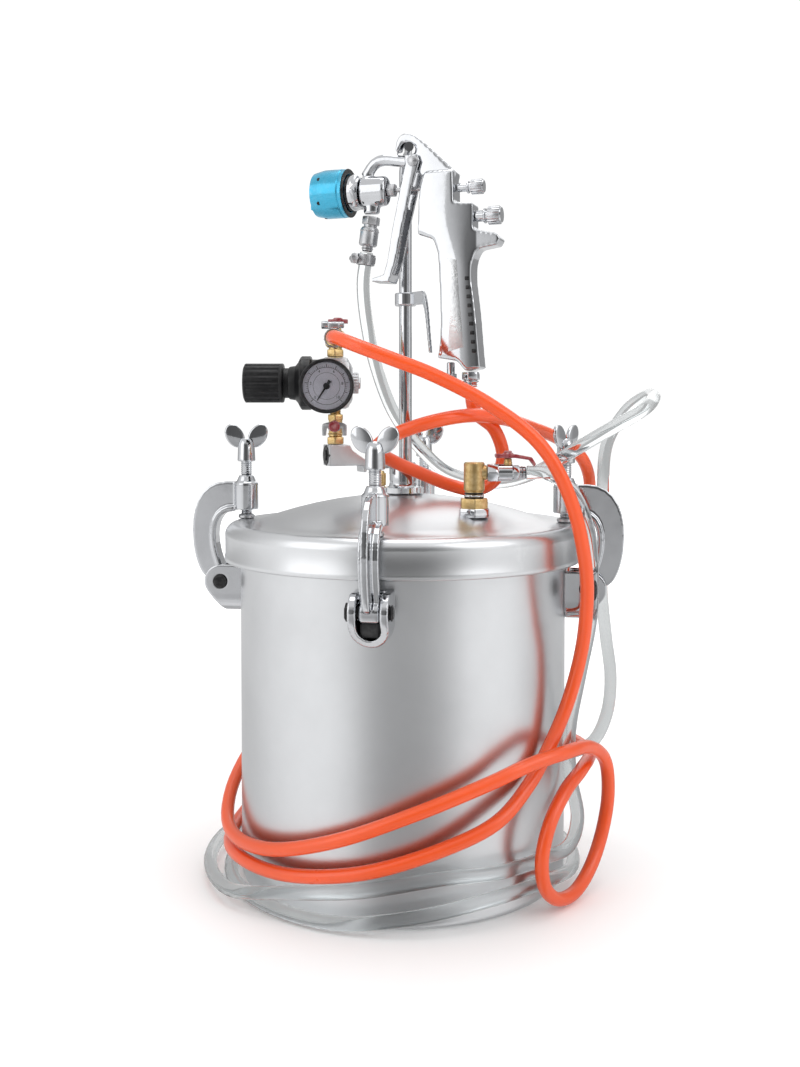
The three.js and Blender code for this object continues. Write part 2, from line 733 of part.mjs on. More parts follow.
function safetyValve() {
  const low = coverZ(SAFETY_X, SAFETY_Y) + 2;
  const body = joined(
    nut(13, low, low + 6),
    post(SAFETY_R, low + 5, low + 20, 1),
    post(2.2, low + 19, low + 27),
  );
  const ring = alongY(
    turned([[5, -1], [7, -1], [7, 1], [5, 1], [5, -1]]),
  ).translate([0, 0, low + 32]);
  return joined(body, ring).translate([SAFETY_X, SAFETY_Y, 0]);
}

add(fittings, "lid_hub", lidHub(), CHROME);
add(fittings, "support_rod", supportRod(), CHROME);
add(fittings, "gun_holder", gunHolder(), CHROME);
add(fittings, "air_arm", airArm(), SATIN);
add(fittings, "arm_plug", armPlug(), BLACK);
add(fittings, "lower_valve", lowerValve(), BRASS);
add(fittings, "lower_valve_handle", lowerHandle(), RED);
add(fittings, "regulator_body", regulatorBody(), SATIN);
add(fittings, "regulator_bonnet", regulatorBonnet(), BLACK);
add(fittings, "regulator_knob", regulatorKnob(), BLACK);
add(fittings, "gauge_case", gaugeCase(), BLACK);
add(fittings, "gauge_dial", gaugeDial(), WHITE);
add(fittings, "gauge_needle", gaugeNeedle(), BLACK);
add(fittings, "gauge_lens", gaugeLens(), GLASS);
add(fittings, "upper_valve", upperValve(), BRASS);
add(fittings, "upper_valve_handle", upperHandle(), RED);
add(fittings, "air_hose_clamp", airHoseClamp(), STEEL);
add(fittings, "outlet_elbow", outletElbow(), BRASS);
add(fittings, "outlet_valve", outletValve(), CHROME);
add(fittings, "outlet_lever", outletLever(), RED);
add(fittings, "dip_tube", dipTube(), STEEL);
add(fittings, "safety_valve", safetyValve(), BRASS);

// ---- Spray gun ----------------------------------------------------------------------------------
const gun = group(fittings);
gun.position.set(0, -GUN_OFF, 0);
gun.rotation.z = GUN_YAW * DEG;

const BODY_FRONT = 15.5; // front face of the body, behind the trigger
const HEAD_REAR = -12;
const HEAD_FRONT = -33;
function gunBody() {
  const handle = new THREE.Shape();
  handle.moveTo(20, 531);
  handle.lineTo(42, 531);
  handle.lineTo(42.5, 508);
  handle.lineTo(57, 507);
  handle.lineTo(57, 488);
  handle.lineTo(75, 484);
  handle.lineTo(77.5, 480);
  handle.lineTo(75, 475.5);
  handle.lineTo(62, 473.5);
  handle.bezierCurveTo(56, 469, 55, 458, 57, 445);
  handle.bezierCurveTo(60, 425, 61, 405, 63, 386.5);
  handle.lineTo(52, 384.5);
  handle.lineTo(45.5, 392);
  handle.lineTo(30, 394.5);
  handle.bezierCurveTo(34, 410, 32, 440, 30.5, 471);
  handle.lineTo(27, 481.5);
  handle.lineTo(BODY_FRONT - 1, 486);
  handle.lineTo(BODY_FRONT, 512);
  handle.lineTo(BODY_FRONT + 1, 521);
  const top = new THREE.Shape();
  top.moveTo(20, 526);
  top.lineTo(12, 533);
  top.lineTo(4, 536);
  top.lineTo(3, 546);
  top.lineTo(10.5, 546.5);
  top.bezierCurveTo(12.5, 550, 10, 555, 4.5, 555);
  top.bezierCurveTo(0, 555, -1, 552, -1.5, 548.5);
  top.lineTo(-4.5, 548.5);
  top.bezierCurveTo(-5, 557, -2, 562, 4, 562);
  top.bezierCurveTo(12, 562, 20, 552, 44, 530);
  top.lineTo(42, 522);
  const neckArm = bar(
    [
      [5, 0, 541],
      [-4, 0, 542.5],
      [-15, 0, 544],
      [-22, 0, 542],
      [-30, 0, 532],
    ],
    4.6,
    10,
  );
  const head = alongX(post(HEAD_R, HEAD_FRONT, HEAD_REAR, 1.5)).translate([0, 0, GUN_AXIS_Z]);
  const fluidBoss = post(6.5, 504, GUN_AXIS_Z - 1).translate([FLUID_IN_U, 0, 0]);
  const pinHole = alongY(post(TRIGGER_PIN_R + GAP, -BODY_T, BODY_T, 0)).translate([PIVOT_U, 0, PIVOT_Z]);
  return without(
    joined(plate(handle, BODY_T, 0, 8), plate(top, HOOK_T, 0, 8), neckArm, head, fluidBoss),
    pinHole,
  );
}

function trigger() {
  const side = outlineOf([
    [PIVOT_U - 5.5, PIVOT_Z + 1],
    [1, 521],
    [-5.5, 491],
    [-9.5, 467],
    [-12.5, 457.5],
    [-22, 455],
    [-22, 452.5],
    [-8, 451.5],
    [-2.5, 467],
    [2.5, 491],
    [9, 517],
    [PIVOT_U + 5, PIVOT_Z],
    [PIVOT_U + 3, PIVOT_Z + 5],
    [PIVOT_U - 3, PIVOT_Z + 5],
  ]);
  const whole = plate(side, TRIGGER_W);
  const channel = plate(side, TRIGGER_SLOT).translate([2.6, 0, 0]);
  const fork = block([60, TRIGGER_SLOT, 50], [0, 0, 508 + 25]);
  const hollow = channel.intersect(block([80, TRIGGER_W, 50], [0, 0, 458 + 25]));
  const pinHole = alongY(post(TRIGGER_PIN_R + GAP, -BODY_T, BODY_T, 0)).translate([PIVOT_U, 0, PIVOT_Z]);
  return without(whole, fork, hollow, pinHole);
}

function triggerPin() {
  const half = TRIGGER_W / 2 + GAP;
  const shank = post(TRIGGER_PIN_R, -half, half, 0.1);
  const head = (s) => post(4.2, 0, 1.6, 0.5).translate([0, 0, s > 0 ? half - 0.1 : -half - 1.5]);
  return alongY(joined(shank, head(1), head(-1))).translate([PIVOT_U, 0, PIVOT_Z]);
}

const onGunAxis = (made) => alongX(made).translate([0, 0, GUN_AXIS_Z]);
function fluidNeedle() {
  const from = HEAD_REAR + GAP;
  return onGunAxis(joined(post(4.5, from, from + 6, 0.6, 6), post(1.8, from + 5, BODY_FRONT - GAP)));
}
function fluidNozzle() {
  const rear = HEAD_FRONT - GAP;
  return onGunAxis(
    turned(
      [
        [0, CAP_REAR - 20],
        [1.6, CAP_REAR - 20],
        [3.5, CAP_REAR - 12],
        [8, CAP_REAR - 10],
        [8, CAP_REAR - 4],
        [12.6, CAP_REAR - 3],
        [13.6, CAP_REAR + 1],
        [13.6, rear - 4],
        [11, rear],
        [0, rear],
      ],
    ),
  );
}
function capRing() {
  const front = CAP_REAR - CAP_LEN;
  const shell = turned(
    [
      [CAP_R - 3, front],
      [CAP_R - 1.8, front + 0.6],
      [CAP_R - 0.4, front + 7],
      [CAP_R, front + 9],
      [CAP_R, CAP_REAR - 1],
      [CAP_R - 1, CAP_REAR],
      [14.2, CAP_REAR],
      [14.2, CAP_REAR - 2.5],
      [CAP_R - 2, CAP_REAR - 4],
      [CAP_R - 2, front + 6],
      [CAP_R - 5, front + 3],
      [CAP_R - 5, front],
      [CAP_R - 3, front],
    ],
  );
  return onGunAxis(shell);
}
function airCap() {
  const front = CAP_REAR - CAP_LEN;
  const disc = turned(
    [
      [2.2, front + 1],
      [CAP_R - 6, front + 1],
      [CAP_R - 6, front + 4],
      [CAP_R - 2 - GAP, front + 7],
      [CAP_R - 2 - GAP, front + 12],
      [CAP_R - 4.5, front + 12],
      [CAP_R - 6, front + 6],
      [2.2, front + 4],
      [2.2, front + 1],
    ],
  );
  const horn = (s) => block([4.5, 6, 7], [s * 9.5, 0, front - 1]);
  return onGunAxis(joined(disc, horn(1), horn(-1)));
}
const knob = (r, from, to, neckR) =>
  alongX(joined(post(neckR, from, to - 9), post(r, to - 10, to, 1)));
const fanKnob = () => knob(5.6, 42.6 + GAP, 63.5, 3.2).translate([0, 0, 519.5]);
const fluidKnob = () => knob(6.8, 57 + GAP, 77, 4.2).translate([0, 0, 498]);
const airScrew = () =>
  joined(post(3, 379, 391.4), post(4.4, 377, 383, 0.8)).translate([38, 0, 0]);
function airInlet() {
  const top = 384.5 - GAP;
  return joined(nut(12, top - 6, top), post(5, AIR_IN_Z, top - 5)).translate([AIR_IN_U, 0, 0]);
}
const FLUID_TILT = 8.5;
const FLUID_LEN = 27;
const atFluidInlet = (made) => made.rotate([0, FLUID_TILT, 0]).translate([FLUID_IN_U, 0, 503]);
const fluidInlet = () =>
  atFluidInlet(joined(nut(12, -7, -0.8), post(5, -10, -6), post(7, -23, -9, 1), post(4, -FLUID_LEN, -22)));
const fluidHoseClamp = () =>
  atFluidInlet(hoseClamp(FLUID_HOSE_R).rotate([0, 0, 120]).translate([0, 0, -FLUID_LEN - GAP - 6]));

add(gun, "gun_body", gunBody(), CHROME);
add(gun, "trigger", trigger(), CHROME);
add(gun, "trigger_pin", triggerPin(), STEEL);
add(gun, "fluid_needle", fluidNeedle(), STEEL);
add(gun, "fluid_nozzle", fluidNozzle(), CHROME);
add(gun, "cap_ring", capRing(), BLUE);
add(gun, "air_cap", airCap(), BLUE);
add(gun, "fan_knob", fanKnob(), CHROME);
add(gun, "fluid_knob", fluidKnob(), CHROME);
add(gun, "air_screw", airScrew(), CHROME);
add(gun, "air_inlet", airInlet(), CHROME);
add(gun, "fluid_inlet", fluidInlet(), CHROME);
add(gun, "fluid_hose_clamp", fluidHoseClamp(), STEEL);

// ---- Hoses, in the fittings' frame ----------------------------------------------------------------
const AIR_ROUTE = [
  [-51, -31.6, 409.3],
  [-51, -50, 409],
  [-47, -70, 407.5],
  [-32, -86, 401],
  [-6, -91, 391],
  [20, -90, 381],
  [62, -89, 359],
  [97, -88, 331],
  [118, -87, 293],
  [130, -82, 242],
  [131, -74, 205],
  [128, -66, 175],
  [118, -70, 142],
  [102, -84, 112],
  [88, -100, 94],
  [64, -122, 75],
  [28, -131, 60],
  [-27, -130, 43],
  [-80, -107, 33],
  [-118, -66, 30],
  [-133, -10, 28],
  [-110, 78, 38],
  [-30, 131, 58],
  [66, 119, 77],
  [126, 52, 90],
  [143, -14, 93],
  [132, -54, 92],
  [116, -82, 84],
  [103, -99, 66],
  [97, -106, 44],
  [99, -104, 24],
  [109, -92, 10],
  [124, -73, 7],
  [138, -54, 17],
  [149, -40, 38],
  [155, -33, 66],
  [152, -38, 93],
  [136, -64, 111],
  [113, -97, 116],
  [86, -114, 112],
  [60, -124, 103],
  [8, -135, 85],
  [-48, -126, 63],
  [-97, -95, 47],
  [-131, -36, 43],
  [-134, 14, 62],
  [-112, 74, 90],
  [-40, 129, 125],
  [54, 126, 165],
  [120, 92, 215],
  [148, 72, 258],
  [154, 60, 292],
  [146, 44, 316],
  [126, 26, 332],
  [98, -8, 343],
  [72, -46, 350],
  [46, -73, 352],
  [18, -83, 347],
  [-9, -74, 337],
  [-19, -46, 327],
  [-8, -24, 318],
  [14, -17, 308],
  [36, -14, 299],
  [55, -17, 295.5],
  [69, -23, 303],
  [75, -29, 321],
  [68, -34, 342],
  [53.5, -39.2, 355],
  [50.3, -40.3, 371],
];
const FLUID_ROUTE = [
  [89.4, -65, 311],
  [106, -65, 309.5],
  [122, -66, 297],
  [133, -67, 272],
  [137, -63, 240],
  [137, -59, 205],
  [130, -52, 160],
  [124, -45, 118],
  [125, -43, 84],
  [129, -54, 56],
  [120, -72, 41],
  [102, -84.5, 37],
  [64, -116, 38],
  [26, -129.5, 39],
  [-30, -129, 30],
  [-82, -106, 20],
  [-124, -78, 11],
  [-150, -6, 8],
  [-140, 58, 10],
  [-88, 116, 8],
  [0, 139, 6],
  [86, 106, 6],
  [129, 40, 8],
  [128, -34, 12],
  [100, -86, 20],
  [48, -123.5, 19],
  [-2, -132.5, 12],
  [-50, -123, 6],
  [-100, -87.5, 5.5],
  [-131.5, -24, 5.5],
  [-120, 64, 15],
  [-64, 120, 28],
  [12, 137, 42],
  [84, 113, 54],
  [130, 84, 62],
  [156, 58, 80],
  [166, 42, 108],
  [168, 35, 140],
  [164, 36, 175],
  [161, 40, 215],
  [163, 38, 260],
  [162, 42, 298],
  [166, 46, 330],
  [179, 38, 355],
  [190, 12, 367],
  [190, -18, 366],
  [178, -44, 357],
  [152, -56, 343],
  [126, -50, 327],
  [102, -36, 311],
  [80, -16, 302],
  [58, 3, 301],
  [34, 12, 308],
  [13, 15, 327],
  [-6, 13, 352],
  [-19, 5, 384],
  [-27, -4, 418],
  [-30.2, -11, 452],
  [-27.3, -12.1, 475.4],
];
add(fittings, "air_hose", bar(AIR_ROUTE, AIR_HOSE_R, HOSE_STEPS, 10), ORANGE);
add(fittings, "fluid_hose", bar(FLUID_ROUTE, FLUID_HOSE_R, HOSE_STEPS, 8), CLEAR);

export default root;
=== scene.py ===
# Paint pressure tank with its regulator, spray gun and hoses: finishes and detailed pieces on the frame.
import json
import math

import bmesh
import bpy
from mathutils import Matrix, Vector
from mathutils.geometry import interpolate_bezier


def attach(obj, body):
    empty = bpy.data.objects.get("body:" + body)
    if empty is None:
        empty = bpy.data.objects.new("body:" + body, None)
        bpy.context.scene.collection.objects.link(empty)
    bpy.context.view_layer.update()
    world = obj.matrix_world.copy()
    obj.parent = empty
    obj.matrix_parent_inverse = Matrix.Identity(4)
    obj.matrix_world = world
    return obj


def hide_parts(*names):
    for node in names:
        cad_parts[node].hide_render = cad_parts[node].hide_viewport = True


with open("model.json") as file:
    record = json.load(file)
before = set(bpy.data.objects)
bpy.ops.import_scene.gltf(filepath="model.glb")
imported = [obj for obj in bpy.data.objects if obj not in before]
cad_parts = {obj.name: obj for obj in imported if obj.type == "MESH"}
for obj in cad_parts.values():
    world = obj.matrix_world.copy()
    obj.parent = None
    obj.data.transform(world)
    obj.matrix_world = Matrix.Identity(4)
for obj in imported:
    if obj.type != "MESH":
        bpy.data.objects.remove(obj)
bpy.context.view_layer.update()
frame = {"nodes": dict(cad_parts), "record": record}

MM = 0.001
FULL_TURN = 2 * math.pi
RECORD = frame["record"]
BODY_OF = {node: body for body, nodes in RECORD["behaviour"]["bodies"].items() for node in nodes}
SLOT_OF = {part["node"]: part["material_slot"] for part in RECORD["subparts"]}
scene = bpy.context.scene


def moved(x=0, y=0, z=0):
    return Matrix.Translation((x, y, z))


def turned_by(degrees, axis):
    return Matrix.Rotation(math.radians(degrees), 4, axis)


ALONG_X = turned_by(90, "Y")
ALONG_Y = turned_by(-90, "X")
FITTINGS_TURN = 8.5  # the hub and all on it, against the clamps
GUN_TURN = -20.0
GUN_AXIS_Z = 521.0
BARB_Z = 409.3  # air hose barb on the upper valve
OUTLET_X, OUTLET_Y, OUTLET_Z = 51.5, -65.0, 311.0
FITTINGS = turned_by(FITTINGS_TURN, "Z")
GUN = FITTINGS @ moved(0, -22, 0) @ turned_by(GUN_TURN, "Z")
GUN_AXIS = GUN @ moved(0, 0, GUN_AXIS_Z) @ ALONG_X
REGULATOR = FITTINGS @ moved(0, -19, 376.5) @ ALONG_X
GAUGE = FITTINGS @ moved(-55.5, -36.3, 373.5) @ turned_by(90, "X")

# ---- Camera ------------------------------------------------------------------------------------
LENS_MM = 40.45
RISE = -0.0655
CAMERA_AT = (0.13879, -0.91734, 0.35326)
CAMERA_TILT, CAMERA_TURN = 87.622, 8.74  # degrees
camera_data = bpy.data.cameras.new("camera")
camera_data.lens = LENS_MM
camera_data.shift_y = RISE
camera = bpy.data.objects.new("camera", camera_data)
camera.location = CAMERA_AT
camera.rotation_euler = (math.radians(CAMERA_TILT), 0, math.radians(CAMERA_TURN))
scene.collection.objects.link(camera)
scene.camera = camera
scene.view_settings.view_transform = "Standard"
scene.view_settings.look = "None"

# ---- Shared shader groups ------------------------------------------------------------------------


def new_group(name, inputs, output, socket):
    """An effect with named number inputs and one output."""
    tree = bpy.data.node_groups.new(name, "ShaderNodeTree")
    for label, value in inputs.items():
        made = tree.interface.new_socket(name=label, in_out="INPUT", socket_type="NodeSocketFloat")
        made.default_value = value
    tree.interface.new_socket(name=output, in_out="OUTPUT", socket_type=socket)
    return tree, tree.nodes.new("NodeGroupInput"), tree.nodes.new("NodeGroupOutput")


def shader(tree, kind, settings=(), **values):
    """Adds a shader node, with plain numbers or links on its sockets."""
    made = tree.nodes.new("ShaderNode" + kind)
    for key, value in dict(settings).items():
        setattr(made, key, value)
    for key, value in values.items():
        socket = made.inputs[int(key[1:])] if key[1:].isdigit() else made.inputs[key.replace("_", " ")]
        if isinstance(value, bpy.types.NodeSocket):
            tree.links.new(value, socket)
        else:
            socket.default_value = value
    return made


def stretched(tree, x, y, z):
    """Object coordinates multiplied along each axis."""
    place = shader(tree, "TexCoord").outputs["Object"]
    scale = shader(tree, "CombineXYZ", X=x, Y=y, Z=z).outputs[0]
    return shader(tree, "VectorMath", {"operation": "MULTIPLY"}, i0=place, i1=scale).outputs[0]


def noise(tree, scale, detail=3.0, rough=0.5, vector=None):
    place = vector or shader(tree, "TexCoord").outputs["Object"]
    return shader(tree, "TexNoise", Vector=place, Scale=scale, Detail=detail, Roughness=rough).outputs["Fac"]


def ranged(tree, value, low, high, to_low, to_high):
    made = shader(tree, "MapRange", Value=value, From_Min=low, From_Max=high, To_Min=to_low, To_Max=to_high)
    return made.outputs[0]


def make_marks():
    """Soft patches left by handling."""
    tree, into, out = new_group("Handling marks", {"Scale": 20, "Cover": 0.5}, "Mask", "NodeSocketFloat")
    broad = noise(tree, into.outputs["Scale"], 5.0, 0.62)
    low = shader(tree, "Math", {"operation": "SUBTRACT"}, i0=0.72, i1=into.outputs["Cover"]).outputs[0]
    high = shader(tree, "Math", {"operation": "ADD"}, i0=low, i1=0.35).outputs[0]
    tree.links.new(ranged(tree, broad, low, high, 0.0, 1.0), out.inputs[0])
    return tree


def make_grain():
    """Fine even grain, as on a casting or moulded plastic."""
    tree, into, out = new_group("Fine grain", {"Scale": 900, "Unevenness": 0.4}, "Height", "NodeSocketFloat")
    fine = noise(tree, into.outputs["Scale"], 4.0, 0.7)
    broad = noise(tree, 60.0, 3.0)
    mixed = shader(tree, "Math", {"operation": "MULTIPLY"}, i0=broad, i1=into.outputs["Unevenness"]).outputs[0]
    total = shader(tree, "Math", {"operation": "ADD"}, i0=fine, i1=mixed).outputs[0]
    tree.links.new(total, out.inputs[0])
    return tree


def make_brushing():
    """Fine lines round the Z axis with fainter ones down it."""
    tree, into, out = new_group("Brushing", {"Around": 1500, "Down": 200}, "Height", "NodeSocketFloat")
    around = noise(tree, 1.0, 2.0, 0.6, stretched(tree, 12.0, 12.0, into.outputs["Around"]))
    down = noise(tree, 1.0, 2.0, 0.6, stretched(tree, into.outputs["Down"], into.outputs["Down"], 4.0))
    weak = shader(tree, "Math", {"operation": "MULTIPLY"}, i0=down, i1=0.5).outputs[0]
    total = shader(tree, "Math", {"operation": "ADD"}, i0=around, i1=weak).outputs[0]
    tree.links.new(total, out.inputs[0])
    return tree


def make_edge_wear():
    """Outer edges, broken up by noise."""
    tree, into, out = new_group("Edge wear", {"Amount": 0.5, "Scale": 300}, "Mask", "NodeSocketFloat")
    sharp = shader(tree, "NewGeometry").outputs["Pointiness"]
    edge = ranged(tree, sharp, 0.51, 0.58, 0.0, 1.0)
    broken = ranged(tree, noise(tree, into.outputs["Scale"], 4.0, 0.6), 0.4, 0.65, 0.0, 1.0)
    both = shader(tree, "Math", {"operation": "MULTIPLY"}, i0=edge, i1=broken).outputs[0]
    total = shader(tree, "Math", {"operation": "MULTIPLY"}, i0=both, i1=into.outputs["Amount"]).outputs[0]
    tree.links.new(total, out.inputs[0])
    return tree


MARKS = make_marks()
GRAIN = make_grain()
BRUSHING = make_brushing()
EDGE_WEAR = make_edge_wear()


def effect(tree, group, **values):
    made = tree.nodes.new("ShaderNodeGroup")
    made.node_tree = group
    for key, value in values.items():
        made.inputs[key].default_value = value
    return made.outputs[0]


def mix(tree, mask, first, second):
    made = shader(tree, "Mix", {"data_type": "RGBA"}, i0=mask, i6=first, i7=second)
    return made.outputs[2]


# ---- Finishes ----------------------------------------------------------------------------------


def finish(name, colour, worn, roughness, height=None, bump=0.1, wear=0.5, cover=0.4, scale=25.0,
           **plain):
    """A finish: two colours mixed by marks and worn edges, uneven gloss, and a surface height."""
    material = bpy.data.materials.new(name)
    material.use_nodes = True
    tree = material.node_tree
    principled = tree.nodes["Principled BSDF"]
    marks = effect(tree, MARKS, Scale=scale, Cover=cover)
    edges = effect(tree, EDGE_WEAR, Amount=wear)
    dulled = mix(tree, marks, (*colour, 1), (*[c * 0.9 for c in colour], 1))
    tree.links.new(mix(tree, edges, dulled, (*worn, 1)), principled.inputs["Base Color"])
    rough = ranged(tree, marks, 0.0, 1.0, roughness[0], roughness[1])
    tree.links.new(rough, principled.inputs["Roughness"])
    group, values = height or (GRAIN, {"Scale": 700.0})
    depth = shader(tree, "Bump", Strength=bump, Distance=0.0004, Height=effect(tree, group, **values))
    tree.links.new(depth.outputs[0], principled.inputs["Normal"])
    for key, value in plain.items():
        principled.inputs[key.replace("_", " ")].default_value = value
    return material


FINISHES = {
    "satin_shell": finish(
        "Satin aluminium", (0.68, 0.69, 0.705), (0.84, 0.85, 0.86), (0.28, 0.32),
        (BRUSHING, {"Around": 1400.0, "Down": 260.0}), bump=0.03, wear=0.2, cover=0.35, scale=9.0, Metallic=1.0),
    "chrome": finish(
        "Chrome plate", (0.57, 0.58, 0.6), (0.86, 0.87, 0.88), (0.06, 0.14),
        (GRAIN, {"Scale": 160.0, "Unevenness": 1.2}), bump=0.05, wear=0.3, cover=0.3, scale=40.0, Metallic=1.0),
    "knurled": finish(
        "Knurled plate", (0.7, 0.71, 0.72), (0.92, 0.92, 0.92), (0.22, 0.34),
        (GRAIN, {"Scale": 380.0, "Unevenness": 0.3}), bump=0.9, wear=0.3, cover=0.4, scale=60.0, Metallic=1.0),
    "steel": finish(
        "Zinc-plated steel", (0.52, 0.525, 0.54), (0.75, 0.75, 0.76), (0.24, 0.42),
        (GRAIN, {"Scale": 500.0}), bump=0.1, wear=0.6, cover=0.5, scale=90.0, Metallic=1.0),
    "silver_paint": finish(
        "Silver enamel", (0.62, 0.63, 0.645), (0.82, 0.82, 0.83), (0.3, 0.45),
        (GRAIN, {"Scale": 900.0, "Unevenness": 0.8}), bump=0.16, wear=0.5, cover=0.4, scale=60.0, Metallic=0.9),
    "brass": finish(
        "Machined brass", (0.58, 0.40, 0.17), (0.85, 0.66, 0.36), (0.2, 0.38),
        (BRUSHING, {"Around": 2600.0, "Down": 500.0}), bump=0.08, wear=0.7, cover=0.55, scale=120.0, Metallic=1.0),
    "black_plastic": finish(
        "Moulded black", (0.006, 0.006, 0.007), (0.05, 0.05, 0.05), (0.3, 0.5),
        (GRAIN, {"Scale": 1500.0}), bump=0.14, wear=0.25, cover=0.4, scale=60.0, Specular_IOR_Level=0.3),
    "rubber": finish(
        "Black rubber", (0.02, 0.02, 0.021), (0.07, 0.07, 0.07), (0.62, 0.8),
        (GRAIN, {"Scale": 1100.0}), bump=0.2, wear=0.4, cover=0.5, scale=80.0),
    "blue_anodised": finish(
        "Blue anodising", (0.06, 0.40, 0.60), (0.35, 0.6, 0.75), (0.2, 0.3),
        (GRAIN, {"Scale": 1400.0}), bump=0.03, wear=0.4, cover=0.25, scale=90.0, Metallic=0.75),
    "red_handle": finish(
        "Red enamel", (0.26, 0.008, 0.018), (0.55, 0.3, 0.3), (0.25, 0.42),
        (GRAIN, {"Scale": 800.0}), bump=0.12, wear=0.8, cover=0.5, scale=150.0, Coat_Weight=0.5),
    "dial": finish(
        "Dial card", (0.80, 0.78, 0.86), (0.8, 0.8, 0.84), (0.5, 0.6),
        (GRAIN, {"Scale": 1500.0}), bump=0.05, wear=0.0, cover=0.4, scale=80.0),
    "black_paint": finish(
        "Black enamel", (0.006, 0.006, 0.007), (0.1, 0.1, 0.1), (0.3, 0.45),
        (GRAIN, {"Scale": 900.0}), bump=0.12, wear=0.35, cover=0.4, scale=120.0, Specular_IOR_Level=0.3),
    "orange_hose": finish(
        "Orange hose", (0.92, 0.098, 0.012), (0.95, 0.28, 0.12), (0.26, 0.36),
        (GRAIN, {"Scale": 260.0, "Unevenness": 0.8}), bump=0.08, wear=0.0, cover=0.45, scale=14.0, Coat_Weight=0.35,
        Coat_Roughness=0.15, Subsurface_Weight=0.08, Subsurface_Scale=0.003),
    "clear_hose": finish(
        "Clear hose", (0.86, 0.885, 0.89), (0.95, 0.96, 0.96), (0.06, 0.14),
        (GRAIN, {"Scale": 130.0, "Unevenness": 1.0}), bump=0.04, wear=0.0, cover=0.4, scale=30.0,
        Transmission_Weight=1.0, IOR=1.33),
    "lens": finish(
        "Gauge glass", (0.97, 0.98, 0.99), (0.97, 0.98, 0.99), (0.02, 0.05),
        (GRAIN, {"Scale": 40.0}), bump=0.01, wear=0.0, cover=0.3, scale=60.0, Transmission_Weight=1.0, IOR=1.45),
}
for name, node in frame["nodes"].items():
    node.data.materials.clear()
    node.data.materials.append(FINISHES[SLOT_OF[name]])

# ---- Shapes, made in millimetres about Z -----------------------------------------------------------


def placed(bm, place):
    bmesh.ops.transform(bm, matrix=place, verts=bm.verts)
    return bm


def turned(profile, segments=72):
    """A turned shape from its radius and height profile, listed from the bottom up the outside."""
    bm = bmesh.new()
    points = [bm.verts.new((r, 0, z)) for r, z in profile]
    edges = [bm.edges.new(pair) for pair in zip(points, points[1:])]
    bmesh.ops.spin(bm, geom=points + edges, cent=(0, 0, 0), axis=(0, 0, 1), angle=FULL_TURN,
                   steps=segments, use_merge=True)
    bmesh.ops.remove_doubles(bm, verts=bm.verts, dist=0.001)
    bmesh.ops.recalc_face_normals(bm, faces=bm.faces)
    return bm


def arc(across, up, radius, start, end, steps=6):
    """Profile points on a circle about (across, up), between two angles in degrees."""
    sweep = [math.radians(start + (end - start) * k / steps) for k in range(steps + 1)]
    return [(across + radius * math.cos(a), up + radius * math.sin(a)) for a in sweep]


def post(radius, low, high, chamfer=0.6, segments=48):
    c = min(chamfer, radius / 3, (high - low) / 3)
    return turned([(0, low), (radius - c, low), (radius, low + c), (radius, high - c),
                   (radius - c, high), (0, high)], segments)


def ring(inner, outer, low, high, segments=64):
    c = min(0.4, (outer - inner) / 3)
    return turned([(inner, low), (outer - c, low), (outer, low + c), (outer, high - c),
                   (outer - c, high), (inner, high), (inner, low)], segments)


def thread(radius, low, high, pitch=1.5, segments=40):
    """A threaded length as close rings."""
    turns = max(2, round((high - low) / pitch))
    step = (high - low) / turns
    profile = [(0, low)]
    for k in range(turns):
        profile += [(radius - 0.45, low + k * step), (radius, low + (k + 0.5) * step)]
    return turned([*profile, (radius - 0.45, high), (0, high)], segments)


def bevelled(bm, width, segments=2, over=25):
    """Rounds every edge sharper than the given degrees."""
    sharp = [e for e in bm.edges if len(e.link_faces) == 2 and e.calc_face_angle() > math.radians(over)]
    bmesh.ops.bevel(bm, geom=sharp, offset=width, affect="EDGES", segments=segments, profile=0.5,
                    material=-1, clamp_overlap=True)
    return bm


def nut(flats, low, high):
    """A hexagon with its corners turned off."""
    bm = bmesh.new()
    across = flats / math.cos(math.pi / 6) / 2
    bmesh.ops.create_cone(bm, cap_ends=True, segments=6, radius1=across, radius2=across, depth=high - low)
    placed(bm, moved(0, 0, (low + high) / 2))
    return bevelled(bm, 0.7, 2)


def plate(outline, thickness, rounding=0.6, segments=2, over=25):
    """A flat outline in X and Z, given thickness across Y and rounded edges."""
    bm = bmesh.new()
    face = bm.faces.new([bm.verts.new((x, -thickness / 2, z)) for x, z in outline])
    out = bmesh.ops.extrude_face_region(bm, geom=[face])
    bmesh.ops.translate(bm, vec=(0, thickness, 0),
                        verts=[v for v in out["geom"] if isinstance(v, bmesh.types.BMVert)])
    bmesh.ops.recalc_face_normals(bm, faces=bm.faces)
    return bevelled(bm, rounding, segments, over)


def block(size, at, rounding=0.6):
    bm = bmesh.new()
    bmesh.ops.create_cube(bm, size=1)
    placed(bm, moved(*at) @ Matrix.Diagonal((*size, 1)))
    return bevelled(bm, rounding, 2)


def bend(start, first, second, end, steps=8):
    """Points of a curved edge, without its last."""
    ends = [Vector((*p, 0)) for p in (start, first, second, end)]
    return [(p.x, p.y) for p in interpolate_bezier(*ends, steps + 1)][:-1]


def oval(width, height, steps=32):
    return [(width * math.cos(a), height * math.sin(a))
            for a in (FULL_TURN * k / steps for k in range(steps))]


